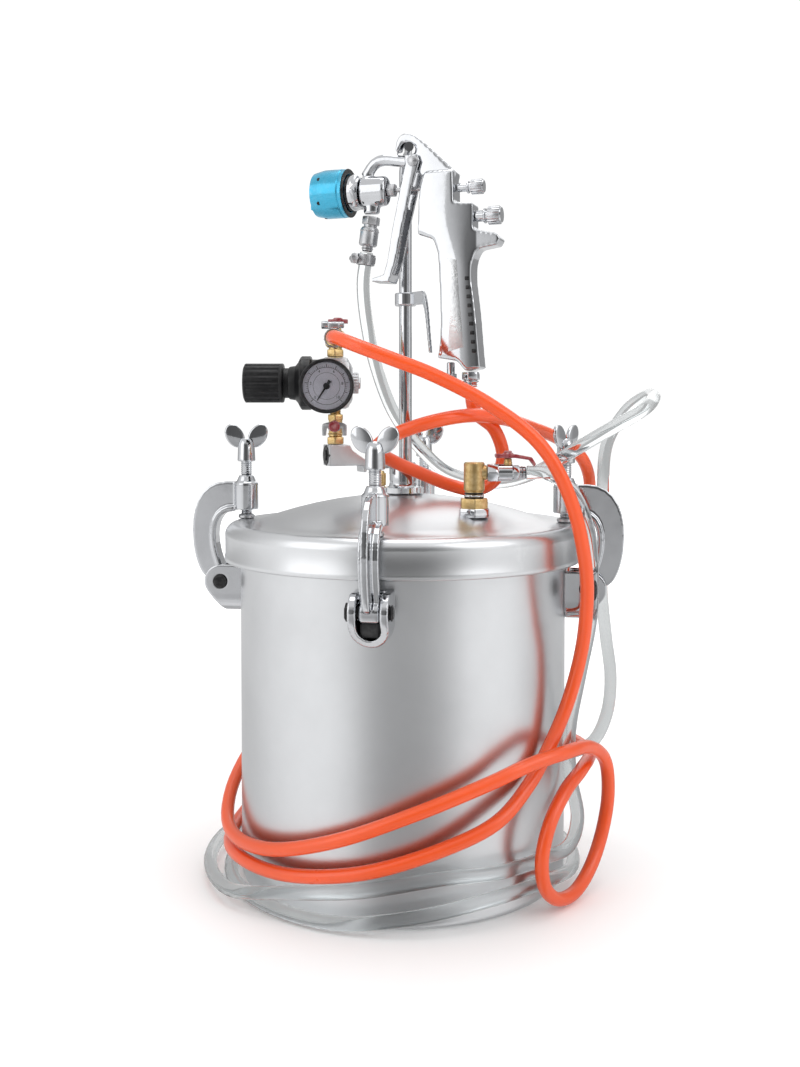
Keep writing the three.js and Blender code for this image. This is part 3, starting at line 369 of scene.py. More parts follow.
def made(name, shapes, slot, node=None, body=None, place=Matrix(), smooth_under=32):
    """Joins the shapes into one piece, scales it to metres, gives it a finish and its body."""
    whole = bmesh.new()
    for shape in shapes:
        step = bpy.data.meshes.new("step")
        shape.to_mesh(step)
        shape.free()
        whole.from_mesh(step)
        bpy.data.meshes.remove(step)
    placed(whole, Matrix.Diagonal((MM, MM, MM, 1)) @ place)
    mesh = bpy.data.meshes.new(name)
    whole.to_mesh(mesh)
    whole.free()
    mesh.shade_smooth()
    mesh.set_sharp_from_angle(angle=math.radians(smooth_under))
    mesh.materials.append(FINISHES[slot])
    piece = bpy.data.objects.new(name, mesh)
    scene.collection.objects.link(piece)
    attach(piece, body or BODY_OF[node])
    if node and not body:
        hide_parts(node)
    return piece


def cast(node, voxel, rounds, slot=None):
    """The node's shape as a casting: its edges and inner corners run into each other."""
    source = frame["nodes"][node]
    mesh = source.data.copy()
    bm = bmesh.new()
    bm.from_mesh(mesh)
    bmesh.ops.remove_doubles(bm, verts=bm.verts, dist=0.01 * MM)
    bm.to_mesh(mesh)
    bm.free()
    piece = bpy.data.objects.new(node + "_cast", mesh)
    scene.collection.objects.link(piece)
    remesh = piece.modifiers.new("even", "REMESH")
    remesh.mode = "VOXEL"
    remesh.voxel_size = voxel * MM
    smooth = piece.modifiers.new("rounded", "SMOOTH")
    smooth.factor = 0.5
    smooth.iterations = rounds
    done = bpy.data.meshes.new_from_object(piece.evaluated_get(bpy.context.evaluated_depsgraph_get()))
    piece.modifiers.clear()
    piece.data = done
    done.shade_smooth()
    done.materials.clear()
    done.materials.append(FINISHES[slot or SLOT_OF[node]])
    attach(piece, BODY_OF[node])
    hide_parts(node)
    return piece


# ---- Hoses -------------------------------------------------------------------------------------
HOSE_R = 5.0
AIR_ROUTE = [
    (-51, -31.6, 409.3), (-51, -50, 409), (-47, -70, 407.5), (-32, -86, 401), (-6, -91, 391), (20, -90, 381),
    (62, -89, 359), (97, -88, 331), (118, -87, 293), (130, -82, 242), (131, -74, 205), (128, -66, 175),
    (118, -70, 142), (102, -84, 112), (88, -100, 94), (64, -122, 75), (28, -131, 60), (-27, -130, 43),
    (-80, -107, 33), (-118, -66, 30), (-133, -10, 28), (-110, 78, 38), (-30, 131, 58), (66, 119, 77),
    (126, 52, 90), (143, -14, 93), (132, -54, 92), (116, -82, 84), (103, -99, 66), (97, -106, 44),
    (99, -104, 24), (109, -92, 10), (124, -73, 7), (138, -54, 17), (149, -40, 38), (155, -33, 66),
    (152, -38, 93), (136, -64, 111), (113, -97, 116), (86, -114, 112), (60, -124, 103), (8, -135, 85),
    (-48, -126, 63), (-97, -95, 47), (-131, -36, 43), (-134, 14, 62), (-112, 74, 90), (-40, 129, 125),
    (54, 126, 165), (120, 92, 215), (148, 72, 258), (154, 60, 292), (146, 44, 316), (126, 26, 332),
    (98, -8, 343), (72, -46, 350), (46, -73, 352), (18, -83, 347), (-9, -74, 337), (-19, -46, 327),
    (-8, -24, 318), (14, -17, 308), (36, -14, 299), (55, -17, 295.5), (69, -23, 303), (75, -29, 321),
    (68, -34, 342), (53.5, -39.2, 355), (50.3, -40.3, 371),
]
FLUID_ROUTE = [
    (89.4, -65, 311), (106, -65, 309.5), (122, -66, 297), (133, -67, 272), (137, -63, 240), (137, -59, 205),
    (130, -52, 160), (124, -45, 118), (125, -43, 84), (129, -54, 56), (120, -72, 41), (102, -84.5, 37),
    (64, -116, 38), (26, -129.5, 39), (-30, -129, 30), (-82, -106, 20), (-124, -78, 11), (-150, -6, 8),
    (-140, 58, 10), (-88, 116, 8), (0, 139, 6), (86, 106, 6), (129, 40, 8), (128, -34, 12), (100, -86, 20),
    (48, -123.5, 19), (-2, -132.5, 12), (-50, -123, 6), (-100, -87.5, 5.5), (-131.5, -24, 5.5),
    (-120, 64, 15), (-64, 120, 28), (12, 137, 42), (84, 113, 54), (130, 84, 62), (156, 58, 80),
    (166, 42, 108), (168, 35, 140), (164, 36, 175), (161, 40, 215), (163, 38, 260), (162, 42, 298),
    (166, 46, 330), (179, 38, 355), (190, 12, 367), (190, -18, 366), (178, -44, 357), (152, -56, 343),
    (126, -50, 327), (102, -36, 311), (80, -16, 302), (58, 3, 301), (34, 12, 308), (13, 15, 327),
    (-6, 13, 352), (-19, 5, 384), (-27, -4, 418), (-30.2, -11, 452), (-27.3, -12.1, 475.4),
]


def smooth_line(points, steps=6):
    """Points on a smooth curve through the route, without loops at close points."""
    ends = [points[0] * 2 - points[1], *points, points[-1] * 2 - points[-2]]
    line = []
    for a, b, c, d in zip(ends, ends[1:], ends[2:], ends[3:]):
        before, here, after = [(q - p).length ** 0.5 for p, q in ((a, b), (b, c), (c, d))]
        leave = ((b - a) / before - (c - a) / (before + here) + (c - b) / here) * here
        arrive = ((c - b) / here - (d - b) / (here + after) + (d - c) / after) * here
        for k in range(steps):
            t = k / steps
            line.append(b * (2 * t**3 - 3 * t**2 + 1) + leave * (t**3 - 2 * t**2 + t)
                        + c * (3 * t**2 - 2 * t**3) + arrive * (t**3 - t**2))
    return line + [points[-1]]


def hose(node, route):
    """A hose as one tube along its route."""
    line = smooth_line([FITTINGS @ (Vector(p) * MM) for p in route])
    curve = bpy.data.curves.new(node, "CURVE")
    curve.dimensions = "3D"
    curve.bevel_depth = HOSE_R * MM
    curve.bevel_resolution = 6
    curve.use_fill_caps = True
    spline = curve.splines.new("POLY")
    spline.points.add(len(line) - 1)
    for point, at in zip(spline.points, line):
        point.co = (*at, 1)
    spline.use_smooth = True
    piece = bpy.data.objects.new(node + "_tube", curve)
    scene.collection.objects.link(piece)
    curve.materials.append(FINISHES[SLOT_OF[node]])
    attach(piece, BODY_OF[node])
    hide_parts(node)
    length = sum((q - p).length for p, q in zip(line, line[1:]))
    return piece, line[0], length


# ---- Tank and lid --------------------------------------------------------------------------------
TANK_R = 125.0
TANK_BORE = 122.5
RIM_TOP = 262.0
LID_R = 137.0
LAND_Z = 270.6
LAND_R = 114.0
DOME_TOP = 291.6


def dome_z(r):
    return LAND_Z + (DOME_TOP - LAND_Z) * (1 - (r / LAND_R) ** 2)


made("tank_shell", [turned(
    [(0, 0), (TANK_R - 9, 0), *arc(TANK_R - 7, 7, 7, -90, 0), (TANK_R, 240), *arc(TANK_R + 4, 246, 4, 180, 130, 3),
     (131, 249.5), (131, RIM_TOP - 1), (130, RIM_TOP), (TANK_BORE, RIM_TOP), (TANK_BORE, 8),
     *arc(TANK_BORE - 5, 8, 5, 0, -90, 4), (0, 3)], 160)], "satin_shell", "tank_body")
made("gasket_ring", [turned([(123, 262.3), (129.4, 262.3), (130, 262.9), (130, 264.7), (129.4, 265.3),
                             (123, 265.3), (123, 262.3)], 128)], "rubber", "lid_gasket")
dome = [(r, dome_z(r)) for r in (LAND_R, 106, 96, 84, 70, 54, 36, 18)]
inside = [(r, dome_z(r) - 3) for r in (18, 36, 54, 70, 84, 96, 106)]
made("lid_cover", [turned(
    [(0, DOME_TOP - 3), *inside, (112, 265.8), (132.4, 265.6), *arc(132.4, 264, 1.6, 90, 0, 3), (134, 244),
     *arc(135.5, 243.5, 1.5, 180, 360, 6), (LID_R, 246), (LID_R - 0.5, 247), (LID_R - 0.5, 262),
     *arc(LID_R - 9, 262, 8.6, 0, 90, 8), *dome, (0, DOME_TOP)], 160)], "satin_shell", "lid")

# ---- Clamps --------------------------------------------------------------------------------------
PIN_X, PIN_Z = 143.0, 222.0
SCREW_X = 125.0
HUB_Z = 315.9
HUB_TOP = 333.9
LEAF_HALF_WIDTH, LEAF_HALF_HEIGHT, LEAF_THICK = 7, 10, 3.2
LEAF_OUT, LEAF_LEAN = 9, 32
PIN_R, SCREW_R, PITCH = 4.5, 4.4, 1.6
# Each clamp's place round the tank and its wing screw's turn, in degrees.
CLAMPS = {"right": (0, 60), "rear": (90, 90), "left": (180, 14), "front": (270, 84)}


def wing(side):
    """One leaf of a wing screw, leaning out to the side given by 1 or -1."""
    leaf = plate(oval(LEAF_HALF_WIDTH, LEAF_HALF_HEIGHT), LEAF_THICK, 1.3, 3)
    return placed(leaf, moved(side * LEAF_OUT, 0, HUB_TOP + 2) @ turned_by(side * LEAF_LEAN, "Y"))


def clamp(name, angle, wing_turn):
    """One clamp: cast bracket and arm, pin, painted shade in the bracket's recess, pad and wing screw."""
    place = turned_by(angle, "Z")
    screw = place @ moved(SCREW_X)
    pin = place @ moved(PIN_X, 0, PIN_Z) @ ALONG_Y
    cast("clamp_bracket_" + name, 0.7, 7)
    cast("clamp_arm_" + name, 0.65, 7)
    made("clamp_pin_detail_" + name, [
        nut(11.4, -16.8, -13.9), ring(4.9, 7.4, -13.9, -13.5), post(PIN_R, -14, 15.6, 0.8),
        ring(3, 5.6, 14.0, 14.9)],
        "black_paint", "clamp_pin_" + name, place=pin)
    # A black post in the bottom of the bracket, with the rubber finish: painted shade standing in for the shadow
    # inside the bracket's recess.
    made("clamp_recess_shade_" + name, [post(7.6, -6.6, 6.6, 1.2)], "rubber", body="tank",
         place=place @ moved(PIN_X - 4, 0, PIN_Z - 10) @ ALONG_Y)
    made("pad_detail_" + name, [turned(
        [(0, 270.9), (5.6, 270.9), (6.5, 271.6), (6.5, 273.2), (6.1, 273.8), (4.4, 274.6), (0, 274.6)], 48)],
        "steel", "pressure_pad_" + name, place=screw)
    made("screw_detail_" + name, [
        thread(SCREW_R, 274.9, HUB_Z + 0.5, PITCH),
        turned([(0, HUB_Z), (6.4, HUB_Z), (7, HUB_Z + 0.7), (6.5, HUB_TOP - 5), (5.2, HUB_TOP - 1),
                (3.4, HUB_TOP + 0.6), (0, HUB_TOP + 1)], 48),
        wing(1), wing(-1)], "chrome", "wing_screw_" + name, place=screw @ turned_by(wing_turn, "Z"))


for name, (angle, wing_turn) in CLAMPS.items():
    clamp(name, angle, wing_turn)

# ---- Hub, rod and air arm --------------------------------------------------------------------------
made("hub_detail", [turned(
    [(0, 291.9), (15.4, 291.9), (16, 292.5), (16, 296.5), *arc(13.5, 299.5, 3, 270, 180, 4), (10.5, 300),
     (10.5, 313.2), (9.5, 315.6), (8, 316), (0, 316)], 64), nut(17, 303, 309)],
    "chrome", "lid_hub", place=FITTINGS)


ROD_R, ROD_FOOT, ROD_BEND = 5.0, 316.3, 538.0
PEG_Z, PEG_SHARE = 550.6, 0.7  # the peg's height and its thickness as a share of the rod's


def rod():
    """The upright rod whose top turns forward into a thinner peg."""
    curve = bpy.data.curves.new("rod_bar", "CURVE")
    curve.dimensions = "3D"
    curve.bevel_depth = ROD_R * MM
    curve.bevel_resolution = 8
    curve.use_fill_caps = True
    route = [((2, 0, ROD_FOOT), 1), ((2, 0, ROD_BEND), 1), ((2.1, -0.3, 541), 0.96), ((2.6, -2.2, 546), 0.78),
             ((3.4, -5.5, 549.4), PEG_SHARE), ((4.4, -10, PEG_Z), PEG_SHARE), ((4.6, -12, PEG_Z), PEG_SHARE),
             ((4.6, -33, PEG_Z), PEG_SHARE)]
    spline = curve.splines.new("POLY")
    spline.points.add(len(route) - 1)
    for point, (at, size) in zip(spline.points, route):
        point.co = (*(FITTINGS @ (Vector(at) * MM)), 1)
        point.radius = size
    spline.use_smooth = True
    curve.materials.append(FINISHES["chrome"])
    piece = bpy.data.objects.new("rod_bar", curve)
    scene.collection.objects.link(piece)
    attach(piece, "lid")
    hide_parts("support_rod")


rod()
cast("gun_holder", 0.5, 3)
cast("air_arm", 0.6, 6, "silver_paint")
ARM_TURN = math.degrees(math.atan2(-19, -51)) - 180
made("arm_plug_detail", [post(8, -62.4, -58.6, 0.9), nut(8, -63.4, -61)], "black_paint", "arm_plug",
     place=FITTINGS @ turned_by(ARM_TURN, "Z") @ moved(0, 0, 322) @ ALONG_X)

# ---- Regulator and gauge ---------------------------------------------------------------------------
RISER = FITTINGS @ moved(-51, -19, 0)
LOWER_HANDLE = RISER @ moved(0, -14.7, 344)


def butterfly(reach, drop, thick=3.0):
    """A stamped handle: a bar with an ear turned down at each end and a round boss."""
    side = [(-reach, -drop), *bend((-reach, 1), (-reach * 0.8, 4), (reach * 0.8, 4), (reach, 1)),
            (reach, 1), (reach, -drop), (reach - 3, -drop), (reach - 3.6, -1), (3.4, -3.5), (-3.4, -3.5),
            (-reach + 3.6, -1), (-reach + 3, -drop)]
    return [plate(side, thick, 0.5), placed(post(3.8, -2.4, 2.6, 0.8), ALONG_Y)]


made("lower_valve_detail", [
    nut(12, 330.3, 335.8), post(5.2, 335.6, 350, 0.8), ring(4, 6, 337.5, 338.6), nut(11, 348.4, 352.9),
    thread(4.2, 352.8, 357), placed(post(3, 0, 12), moved(0, 0, 344) @ turned_by(180, "Z") @ ALONG_Y)],
    "brass", "lower_valve", place=RISER)
made("lower_handle_detail", butterfly(9.2, 7), "steel", "lower_valve_handle",
     place=LOWER_HANDLE)
made("lower_handle_grip", [placed(post(4.3, -3.2, 2.6, 1), ALONG_Y), block((8, 3.4, 5.4), (0, -0.4, 0.6), 1.2)],
     "red_handle", body="lower_handle", place=LOWER_HANDLE)
made("regulator_block", [
    block((24, 34, 33), (-50.5, 0, 0), 4.5), block((20, 26, 38.6), (-50.5, 0, 0), 3.5),
    placed(post(9, -19.4, -14.5, 1), moved(-51, 0, 0)), placed(post(9, 14.5, 19.4, 1), moved(-51, 0, 0))],
    "silver_paint", "regulator_body", place=FITTINGS @ moved(0, -19, 376.5))


def ribbed(radius, depth, ribs, low, high, rounding=0.5):
    """A grip with rounded ribs along its length."""
    outline = []
    for k in range(ribs * 4):
        r = radius - (depth if k % 4 > 1 else 0)
        a = FULL_TURN * (k + (0.25 if k % 2 else -0.25)) / (ribs * 4)
        outline.append((r * math.cos(a), r * math.sin(a)))
    return placed(plate(outline, high - low, rounding, 2, 40), moved(0, 0, (low + high) / 2) @ turned_by(90, "X"))


made("regulator_plug", [ribbed(8, 0.5, 20, -39, -33.6, 0.2), nut(9, -34, -32)], "silver_paint",
     body="lid", place=REGULATOR)
FLANGE_R, LOBES = 20.3, 6
made("bonnet_detail", [turned(
    [(0, -85.8), (12, -85.8), (12.4, -85), (13, -81), (15.5, -79), (18, -77.8), (19.4, -77), (FLANGE_R, -76),
     (FLANGE_R, -69.6), (19.6, -68.9), (17.8, -68.5), (17.8, -62.8), (0, -62.8)], 72)]
    + [placed(post(3.0, -77.3, -68.2, 0.9), turned_by((k + 0.5) * 360 / LOBES, "Z") @ moved(17.6))
       for k in range(LOBES)],
    "black_paint", "regulator_bonnet", place=REGULATOR)
made("knob_detail", [ribbed(14.8, 0.75, 18, -119.2, -92.5, 0.5),
                     turned([(0, -120.1), (12.5, -120.1), (14.2, -119.2), (14.4, -118), (0, -118)], 64),
                     turned([(0, -93), (14.5, -93), (14.8, -92.4), (14.8, -90.6), (14.2, -90), (11.3, -89.6),
                             (11.3, -86.1), (0, -86.1)], 64)],
     "black_plastic", "regulator_knob", place=REGULATOR)
made("gauge_shell", [turned(
    [(0, 0), (5, 0), (5, 4), (17, 4), (18.5, 6), (18.5, 13.5), (19.3, 14.3), (20, 15),
     *arc(18.9, 19.9, 1.1, 0, 90, 4), (17.9, 20.6), (17.5, 19), (17.5, 15.6), (0, 15.6)], 96), nut(9.5, -0.2, 4.2)],
    "black_paint", "gauge_case", place=GAUGE)
made("dial_card", [post(17.2, 16.0, 16.9, 0.1, 96)], "dial", "gauge_dial", place=GAUGE)
made("gauge_glass", [turned([(0, 19.2), (17.2, 19.2), (17.2, 20.1), (15, 20.5), (8, 20.75), (0, 20.8)], 96)],
     "lens", "gauge_lens", place=GAUGE)
SCALE_START, SCALE_SWEEP, DIVISIONS = 225.0, 270.0, 50
DIAL_FACE = 16.95
LONG_EVERY, NUMBER_EVERY = 5, 10
NEEDLE_TURN = -213


def tick(turn, inner, outer, width):
    """One mark of the gauge's scale, turned round from the top."""
    bar = block((width, outer - inner, 0.12), (0, (inner + outer) / 2, DIAL_FACE), 0.01)
    return placed(bar, turned_by(turn, "Z"))


def numeral(text, turn, radius, size):
    """A number of the scale as a flat shape."""
    curve = bpy.data.curves.new("numeral", "FONT")
    curve.body = text
    curve.size = size
    curve.extrude = 0.06
    curve.align_x = curve.align_y = "CENTER"
    letter = bpy.data.objects.new("numeral", curve)
    scene.collection.objects.link(letter)
    mesh = bpy.data.meshes.new_from_object(letter.evaluated_get(bpy.context.evaluated_depsgraph_get()))
    bm = bmesh.new()
    bm.from_mesh(mesh)
    bpy.data.objects.remove(letter)
    a = math.radians(turn + 90)
    return placed(bm, moved(radius * math.cos(a), radius * math.sin(a), 16.97))


marks = [ring(13.3, 13.6, 16.85, 17.0, 96), ring(9.6, 9.8, 16.85, 17.0, 96)]
for k in range(DIVISIONS + 1):
    long_mark = k % LONG_EVERY == 0
    turn = -(SCALE_START - 360 + SCALE_SWEEP * k / DIVISIONS)
    marks.append(tick(turn, 13.4, 15.9 if long_mark else 14.8, 0.42 if long_mark else 0.2))
    if k % NUMBER_EVERY == 0:
        marks.append(numeral(str(2 * k // 10), turn, 11.6, 2.9))
made("dial_marks", marks, "black_paint", body="lid", place=GAUGE)
made("needle_detail", [
    placed(plate([(-1.3, -4.6), (1.3, -4.6), (0.9, -1), (0.28, 12.6), (-0.28, 12.6), (-0.9, -1)], 0.5, 0.1, 1),
           turned_by(NEEDLE_TURN, "Z") @ moved(0, 0, 17.7) @ turned_by(-90, "X")),
    post(2.4, 17.3, 18.3, 0.3)], "black_paint", "gauge_needle", place=GAUGE)
made("upper_valve_detail", [
    nut(12, 396.3, 401.8), post(5, 401.5, 404.5, 0.3), turned(
        [(0, 403.3), (6, 403.3), (7.5, 405), (7.5, 413.6), (6, 415.6), (4, 416.4), (0, 416.4)]),
    nut(9, 415.5, 418), post(3, 417.5, 420.3),
    placed(post(4.5, 0, 12, 0.8), moved(0, 0, BARB_Z) @ turned_by(180, "Z") @ ALONG_Y)],
    "brass", "upper_valve", place=RISER)
made("upper_handle_detail", [placed(s, turned_by(90, "X")) for s in butterfly(7.5, 5)],
     "red_handle", "upper_valve_handle", place=RISER @ moved(2, 0, 423))


# ---- Hose clamps ---------------------------------------------------------------------------------
BAND_SLOTS = range(2, 17)
FLUID_FITTING = GUN @ moved(-25, 0, 503) @ turned_by(8.5, "Y")


def hose_clamp(bore=6.2):
    """A worm-drive band, its housing and its slotted screw."""
    slots = [placed(block((0.5, 0.5, 4.6), (0, bore + 1.05, 0), 0.1), turned_by(20 * k, "Z"))
             for k in BAND_SLOTS]
    return [ring(bore, bore + 0.9, -4, 4), block((9, 4.4, 7.4), (0, bore + 2.6, 0), 1.0),
            placed(nut(5.4, -9.2, -4), moved(0, bore + 3.4) @ ALONG_X),
            placed(post(2.4, -5, 7.6, 0.5), moved(0, bore + 3.4) @ ALONG_X), *slots]


air_band = made("air_clamp_detail", hose_clamp(), "steel", "air_hose_clamp",
                place=FITTINGS @ moved(-51, -38.3, BARB_Z) @ turned_by(90, "X"))
fluid_band = made("fluid_clamp_detail", hose_clamp(), "steel", "fluid_hose_clamp",
                  place=FLUID_FITTING @ moved(0, 0, -33.3) @ turned_by(120, "Z"))

# ---- Outlet and safety valve -------------------------------------------------------------------------
OUTLET = FITTINGS @ moved(OUTLET_X, OUTLET_Y, 0)
OUTLET_LINE = FITTINGS @ moved(0, OUTLET_Y, OUTLET_Z)
STEM_X = 75.8
outlet_z = dome_z(math.hypot(OUTLET_X, OUTLET_Y)) + 3
made("elbow_detail", [
    nut(19, outlet_z, outlet_z + 9), post(6.4, outlet_z + 8.6, outlet_z + 15.5, 0.4),
    turned([(0, outlet_z + 14), (6.8, outlet_z + 14), (7.5, outlet_z + 15), (7.5, 317.5),
            (6.6, 318.5), (0, 318.5)]),
    placed(post(5.5, 0, 9), moved(0, 0, OUTLET_Z) @ ALONG_X), post(5, outlet_z - 19.6, outlet_z + 0.5)],
    "brass", "outlet_elbow", place=OUTLET)
made("elbow_seat", [nut(21, outlet_z - 4.6, outlet_z + 2), ring(6.2, 7.3, outlet_z + 10, outlet_z + 11.6)],
     "chrome", body="lid", place=OUTLET)
made("elbow_seal", [
    ring(5.8, 7.0, outlet_z + 8.9, outlet_z + 10.2), ring(5.8, 7.0, outlet_z + 11.8, outlet_z + 13.2)],
     "black_paint", body="lid", place=OUTLET)
made("outlet_valve_detail", [
    nut(12.5, 60.8, 68.8), turned([(0, 68), (5.6, 68), (6.3, 69), (6.3, 78.6), (5.2, 79.8), (0, 79.8)]),
    nut(10.5, 78.8, 83.8), ring(3.8, 5.0, 85.4, 86.2), post(4.4, 82.8, 88.8, 0.8)],
    "chrome", "outlet_valve", place=OUTLET_LINE @ ALONG_X)
made("outlet_valve_stem", [post(2.8, 0, 10.2), nut(6, 6, 8)], "brass", body="lid",
     place=OUTLET_LINE @ moved(STEM_X))
lever_side = [(-9, 0), (-9.6, 2), (-9, 3), (6, 2.6), (17, 0.5), (20, -4.5), (18.5, -6), (15, -1.5), (5, 0)]
made("lever_detail", [plate(lever_side, 8, 0.9), post(4, -0.2, 3.8, 0.8), nut(5.5, 3.4, 5.2)], "red_handle",
     "outlet_lever", place=OUTLET_LINE @ moved(STEM_X, 0, 10.6))
SAFETY_X, SAFETY_Y = -20.0, 65.0
safety_z = dome_z(math.hypot(SAFETY_X, SAFETY_Y)) + 2
SAFETY = FITTINGS @ moved(SAFETY_X, SAFETY_Y, 0)
made("safety_detail", [
    nut(13, safety_z, safety_z + 6), post(5.2, safety_z - 2.5, safety_z + 8),
    ribbed(6, 0.5, 16, safety_z + 8, safety_z + 18, 0.2),
    turned([(0, safety_z + 17), (5.4, safety_z + 17), (4.2, safety_z + 20), (0, safety_z + 20)]),
    post(2.2, safety_z + 19, safety_z + 27)], "brass", "safety_valve", place=SAFETY)
made("safety_ring", [placed(turned(
    [*arc(6, 0, 1, 0, 360, 12)], 64), moved(0, 0, safety_z + 32) @ ALONG_Y)], "steel", body="lid", place=SAFETY)

# ---- Spray gun -------------------------------------------------------------------------------------
GRIP_TOP, BLEND = 460, 44  # where the grip's crown begins to pass into the body's, and over what height


def crowned(piece, middle, half, thinning):
    """Thins a casting towards its outline, so that its flat sides become gently domed."""
    to_gun = (Matrix.Diagonal((MM, MM, MM, 1)) @ GUN @ Matrix.Diagonal((1 / MM, 1 / MM, 1 / MM, 1))).inverted()
    back = to_gun.inverted()
    for vertex in piece.data.vertices:
        at = to_gun @ vertex.co
        out = (at.x / MM - middle(at.z / MM)) / half(at.z / MM)
        at.y *= 1 - thinning * min(1.0, out * out)
        vertex.co = back @ at
    piece.data.update()


def blended(z, above, below):
    """Passes from one value to the other round the top of the grip."""
    t = min(1.0, max(0.0, (z - GRIP_TOP) / BLEND))
    return below + (above - below) * t * t * (3 - 2 * t)


crowned(cast("gun_body", 0.75, 22), lambda z: blended(z, 34, 46 + (445 - z) * 0.05),
        lambda z: blended(z, 26, 15), 0.2)
crowned(cast("trigger", 0.5, 8), lambda z: 2 + (z - 500) * 0.2, lambda z: 9, 0.12)
GRIP_RIBS, RIB_PITCH = 9, 6.6
# Black blocks in the gaps between the grip's ribs: painted shade in the grooves.
made("grip_gap_shade", [
    block((3.4, 20.1, 2.9), (53.2 + 0.68 * k, 0, 452 - RIB_PITCH * k), 0.5) for k in range(GRIP_RIBS)],
     "black_paint", body="lid", place=GUN)
panel = [(38, 467), (45.5, 466), (47.5, 440), (51, 402), (39, 399), (40.5, 430)]
made("grip_panels", [placed(plate(panel, 0.9, 0.4), moved(0, s * 9.7, 0)) for s in (1, -1)], "knurled", body="lid",
     place=GUN)
PIVOT = GUN @ moved(11, 0, 540) @ ALONG_Y
made("trigger_pin_detail", [
    post(2.5, -9, 9, 0.1), turned([(0, -10.8), (2.6, -10.6), (4, -9.6), (4.2, -8.9), (0, -8.9)], 32),
    turned([(0, 8.9), (4.2, 8.9), (4, 9.6), (2.6, 10.6), (0, 10.8)], 32)], "steel", "trigger_pin", place=PIVOT)
made("needle_gland", [nut(9, -11.7, -5.7), post(1.8, -6.5, 15.2)], "steel", "fluid_needle", place=GUN_AXIS)
made("nozzle_detail", [turned(
    [(0, -63), (1.6, -63), (3.5, -55), (8, -53), (8, -47), (12.6, -46), (13.6, -42), (13.6, -38), (12.8, -37.3),
     (11, -33.3), (0, -33.3)]), nut(24, -39, -34.4)], "chrome", "fluid_nozzle", place=GUN_AXIS)
ring_profile = [(15.3, -70), (16.5, -69.4), (17.9, -63), (18.3, -61), (18.3, -47.4), (17.7, -46.6), (18.1, -45.8),
                (18.1, -43.9), (17.3, -43), (14.2, -43), (14.2, -45.5), (16.3, -47), (16.3, -64), (13.3, -67),
                (13.3, -70), (15.3, -70)]
made("cap_ring_detail", [turned(ring_profile, 96)], "blue_anodised", "cap_ring", place=GUN_AXIS)
CAP_HOLES = 12
# Black discs in the ring where its holes are: painted shade inside the holes.
made("cap_ring_hole_shade", [placed(post(1.5, 17.4, 18.25, 0.1, 20), turned_by(360 * k / CAP_HOLES, "Z")
                               @ moved(0, 0, -62 + (9 if k % 2 else 0)) @ ALONG_X) for k in range(CAP_HOLES)],
     "black_paint", body="air_cap_set", place=GUN_AXIS)
made("cap_ring_edge", [ring(14.4, 18.25, -43.3, -42.7, 96)], "black_paint", body="air_cap_set", place=GUN_AXIS)
horn_shapes = [placed(plate([(-2.6, -3.5), (2.6, -3.5), (1.8, 3.5), (-1.8, 3.5)], 6, 0.8),
                      moved(s * 9.5, 0, -71) @ turned_by(180, "X")) for s in (1, -1)]
made("air_cap_detail", [turned(
    [(2.2, -69), (6, -69.4), (12.3, -69), (12.3, -66), (16, -63), (16, -58), (13.8, -58), (12.3, -64), (2.2, -66),
     (2.2, -69)], 80), *horn_shapes], "blue_anodised", "air_cap", place=GUN_AXIS)
made("fan_knob_detail", [post(3.2, 42.9, 54.5), ribbed(5.6, 0.5, 16, 54, 62.6, 0.25),
                         turned([(0, 62), (5, 62), (4.4, 63.4), (0, 63.5)]), ring(3, 4.6, 50.5, 52)],
     "chrome", "fan_knob", place=GUN @ moved(0, 0, 519.5) @ ALONG_X)
made("fluid_knob_detail", [post(4.2, 57.3, 68), ribbed(6.8, 0.55, 18, 67, 76, 0.25),
                           turned([(0, 75.5), (6.2, 75.5), (5.4, 76.9), (0, 77)]), ring(4, 5.6, 63.5, 65)],
     "chrome", "fluid_knob", place=GUN @ moved(0, 0, 498) @ ALONG_X)
made("air_screw_detail", [post(3, 379, 391.4), ribbed(4.4, 0.4, 14, 377, 383, 0.2)], "chrome", "air_screw",
     place=GUN @ moved(38, 0, 0))
made("air_inlet_detail", [nut(12, 378.2, 384.2), ring(4, 6, 376.6, 377.8), thread(5, 373, 378.6)], "chrome",
     "air_inlet", place=GUN @ moved(53.5, 0, 0))
made("fluid_inlet_detail", [
    nut(12, -7, -0.8), post(5, -10, -6), turned([(0, -23), (6, -23), (7, -21.8), (7, -10.6), (6, -9), (0, -9)]),
    ring(5, 7.4, -12.4, -11.2), post(4, -27, -22), ring(3.4, 4.6, -25.4, -24.4)],
    "steel", "fluid_inlet", place=FLUID_FITTING)

air_tube, air_exit, air_length = hose("air_hose", AIR_ROUTE)
fluid_tube, fluid_exit, fluid_length = hose("fluid_hose", FLUID_ROUTE)

# ---- Floor, lights and surroundings ------------------------------------------------------------------
FLOOR_HALF = 6
FLOOR_NEAR, FLOOR_FAR = 0.45, 1.9  # metres from the object over which the floor lightens into the backdrop
FLOOR_GLOW, FLOOR_HAZE = 0.1, 0.75
FLOOR_UNSEEN = 0.7  # share of mirrored light that comes from the studio wall and not from the floor
floor_mesh = bpy.data.meshes.new("floor")
floor_shape = bmesh.new()
bmesh.ops.create_grid(floor_shape, x_segments=1, y_segments=1, size=FLOOR_HALF)
floor_shape.to_mesh(floor_mesh)
floor_shape.free()
floor = bpy.data.objects.new("floor", floor_mesh)
scene.collection.objects.link(floor)
floor_finish = bpy.data.materials.new("Pale floor")
floor_finish.use_nodes = True
tree = floor_finish.node_tree
pale = tree.nodes["Principled BSDF"]
pale.inputs["Base Color"].default_value = (0.9, 0.9, 0.9, 1)
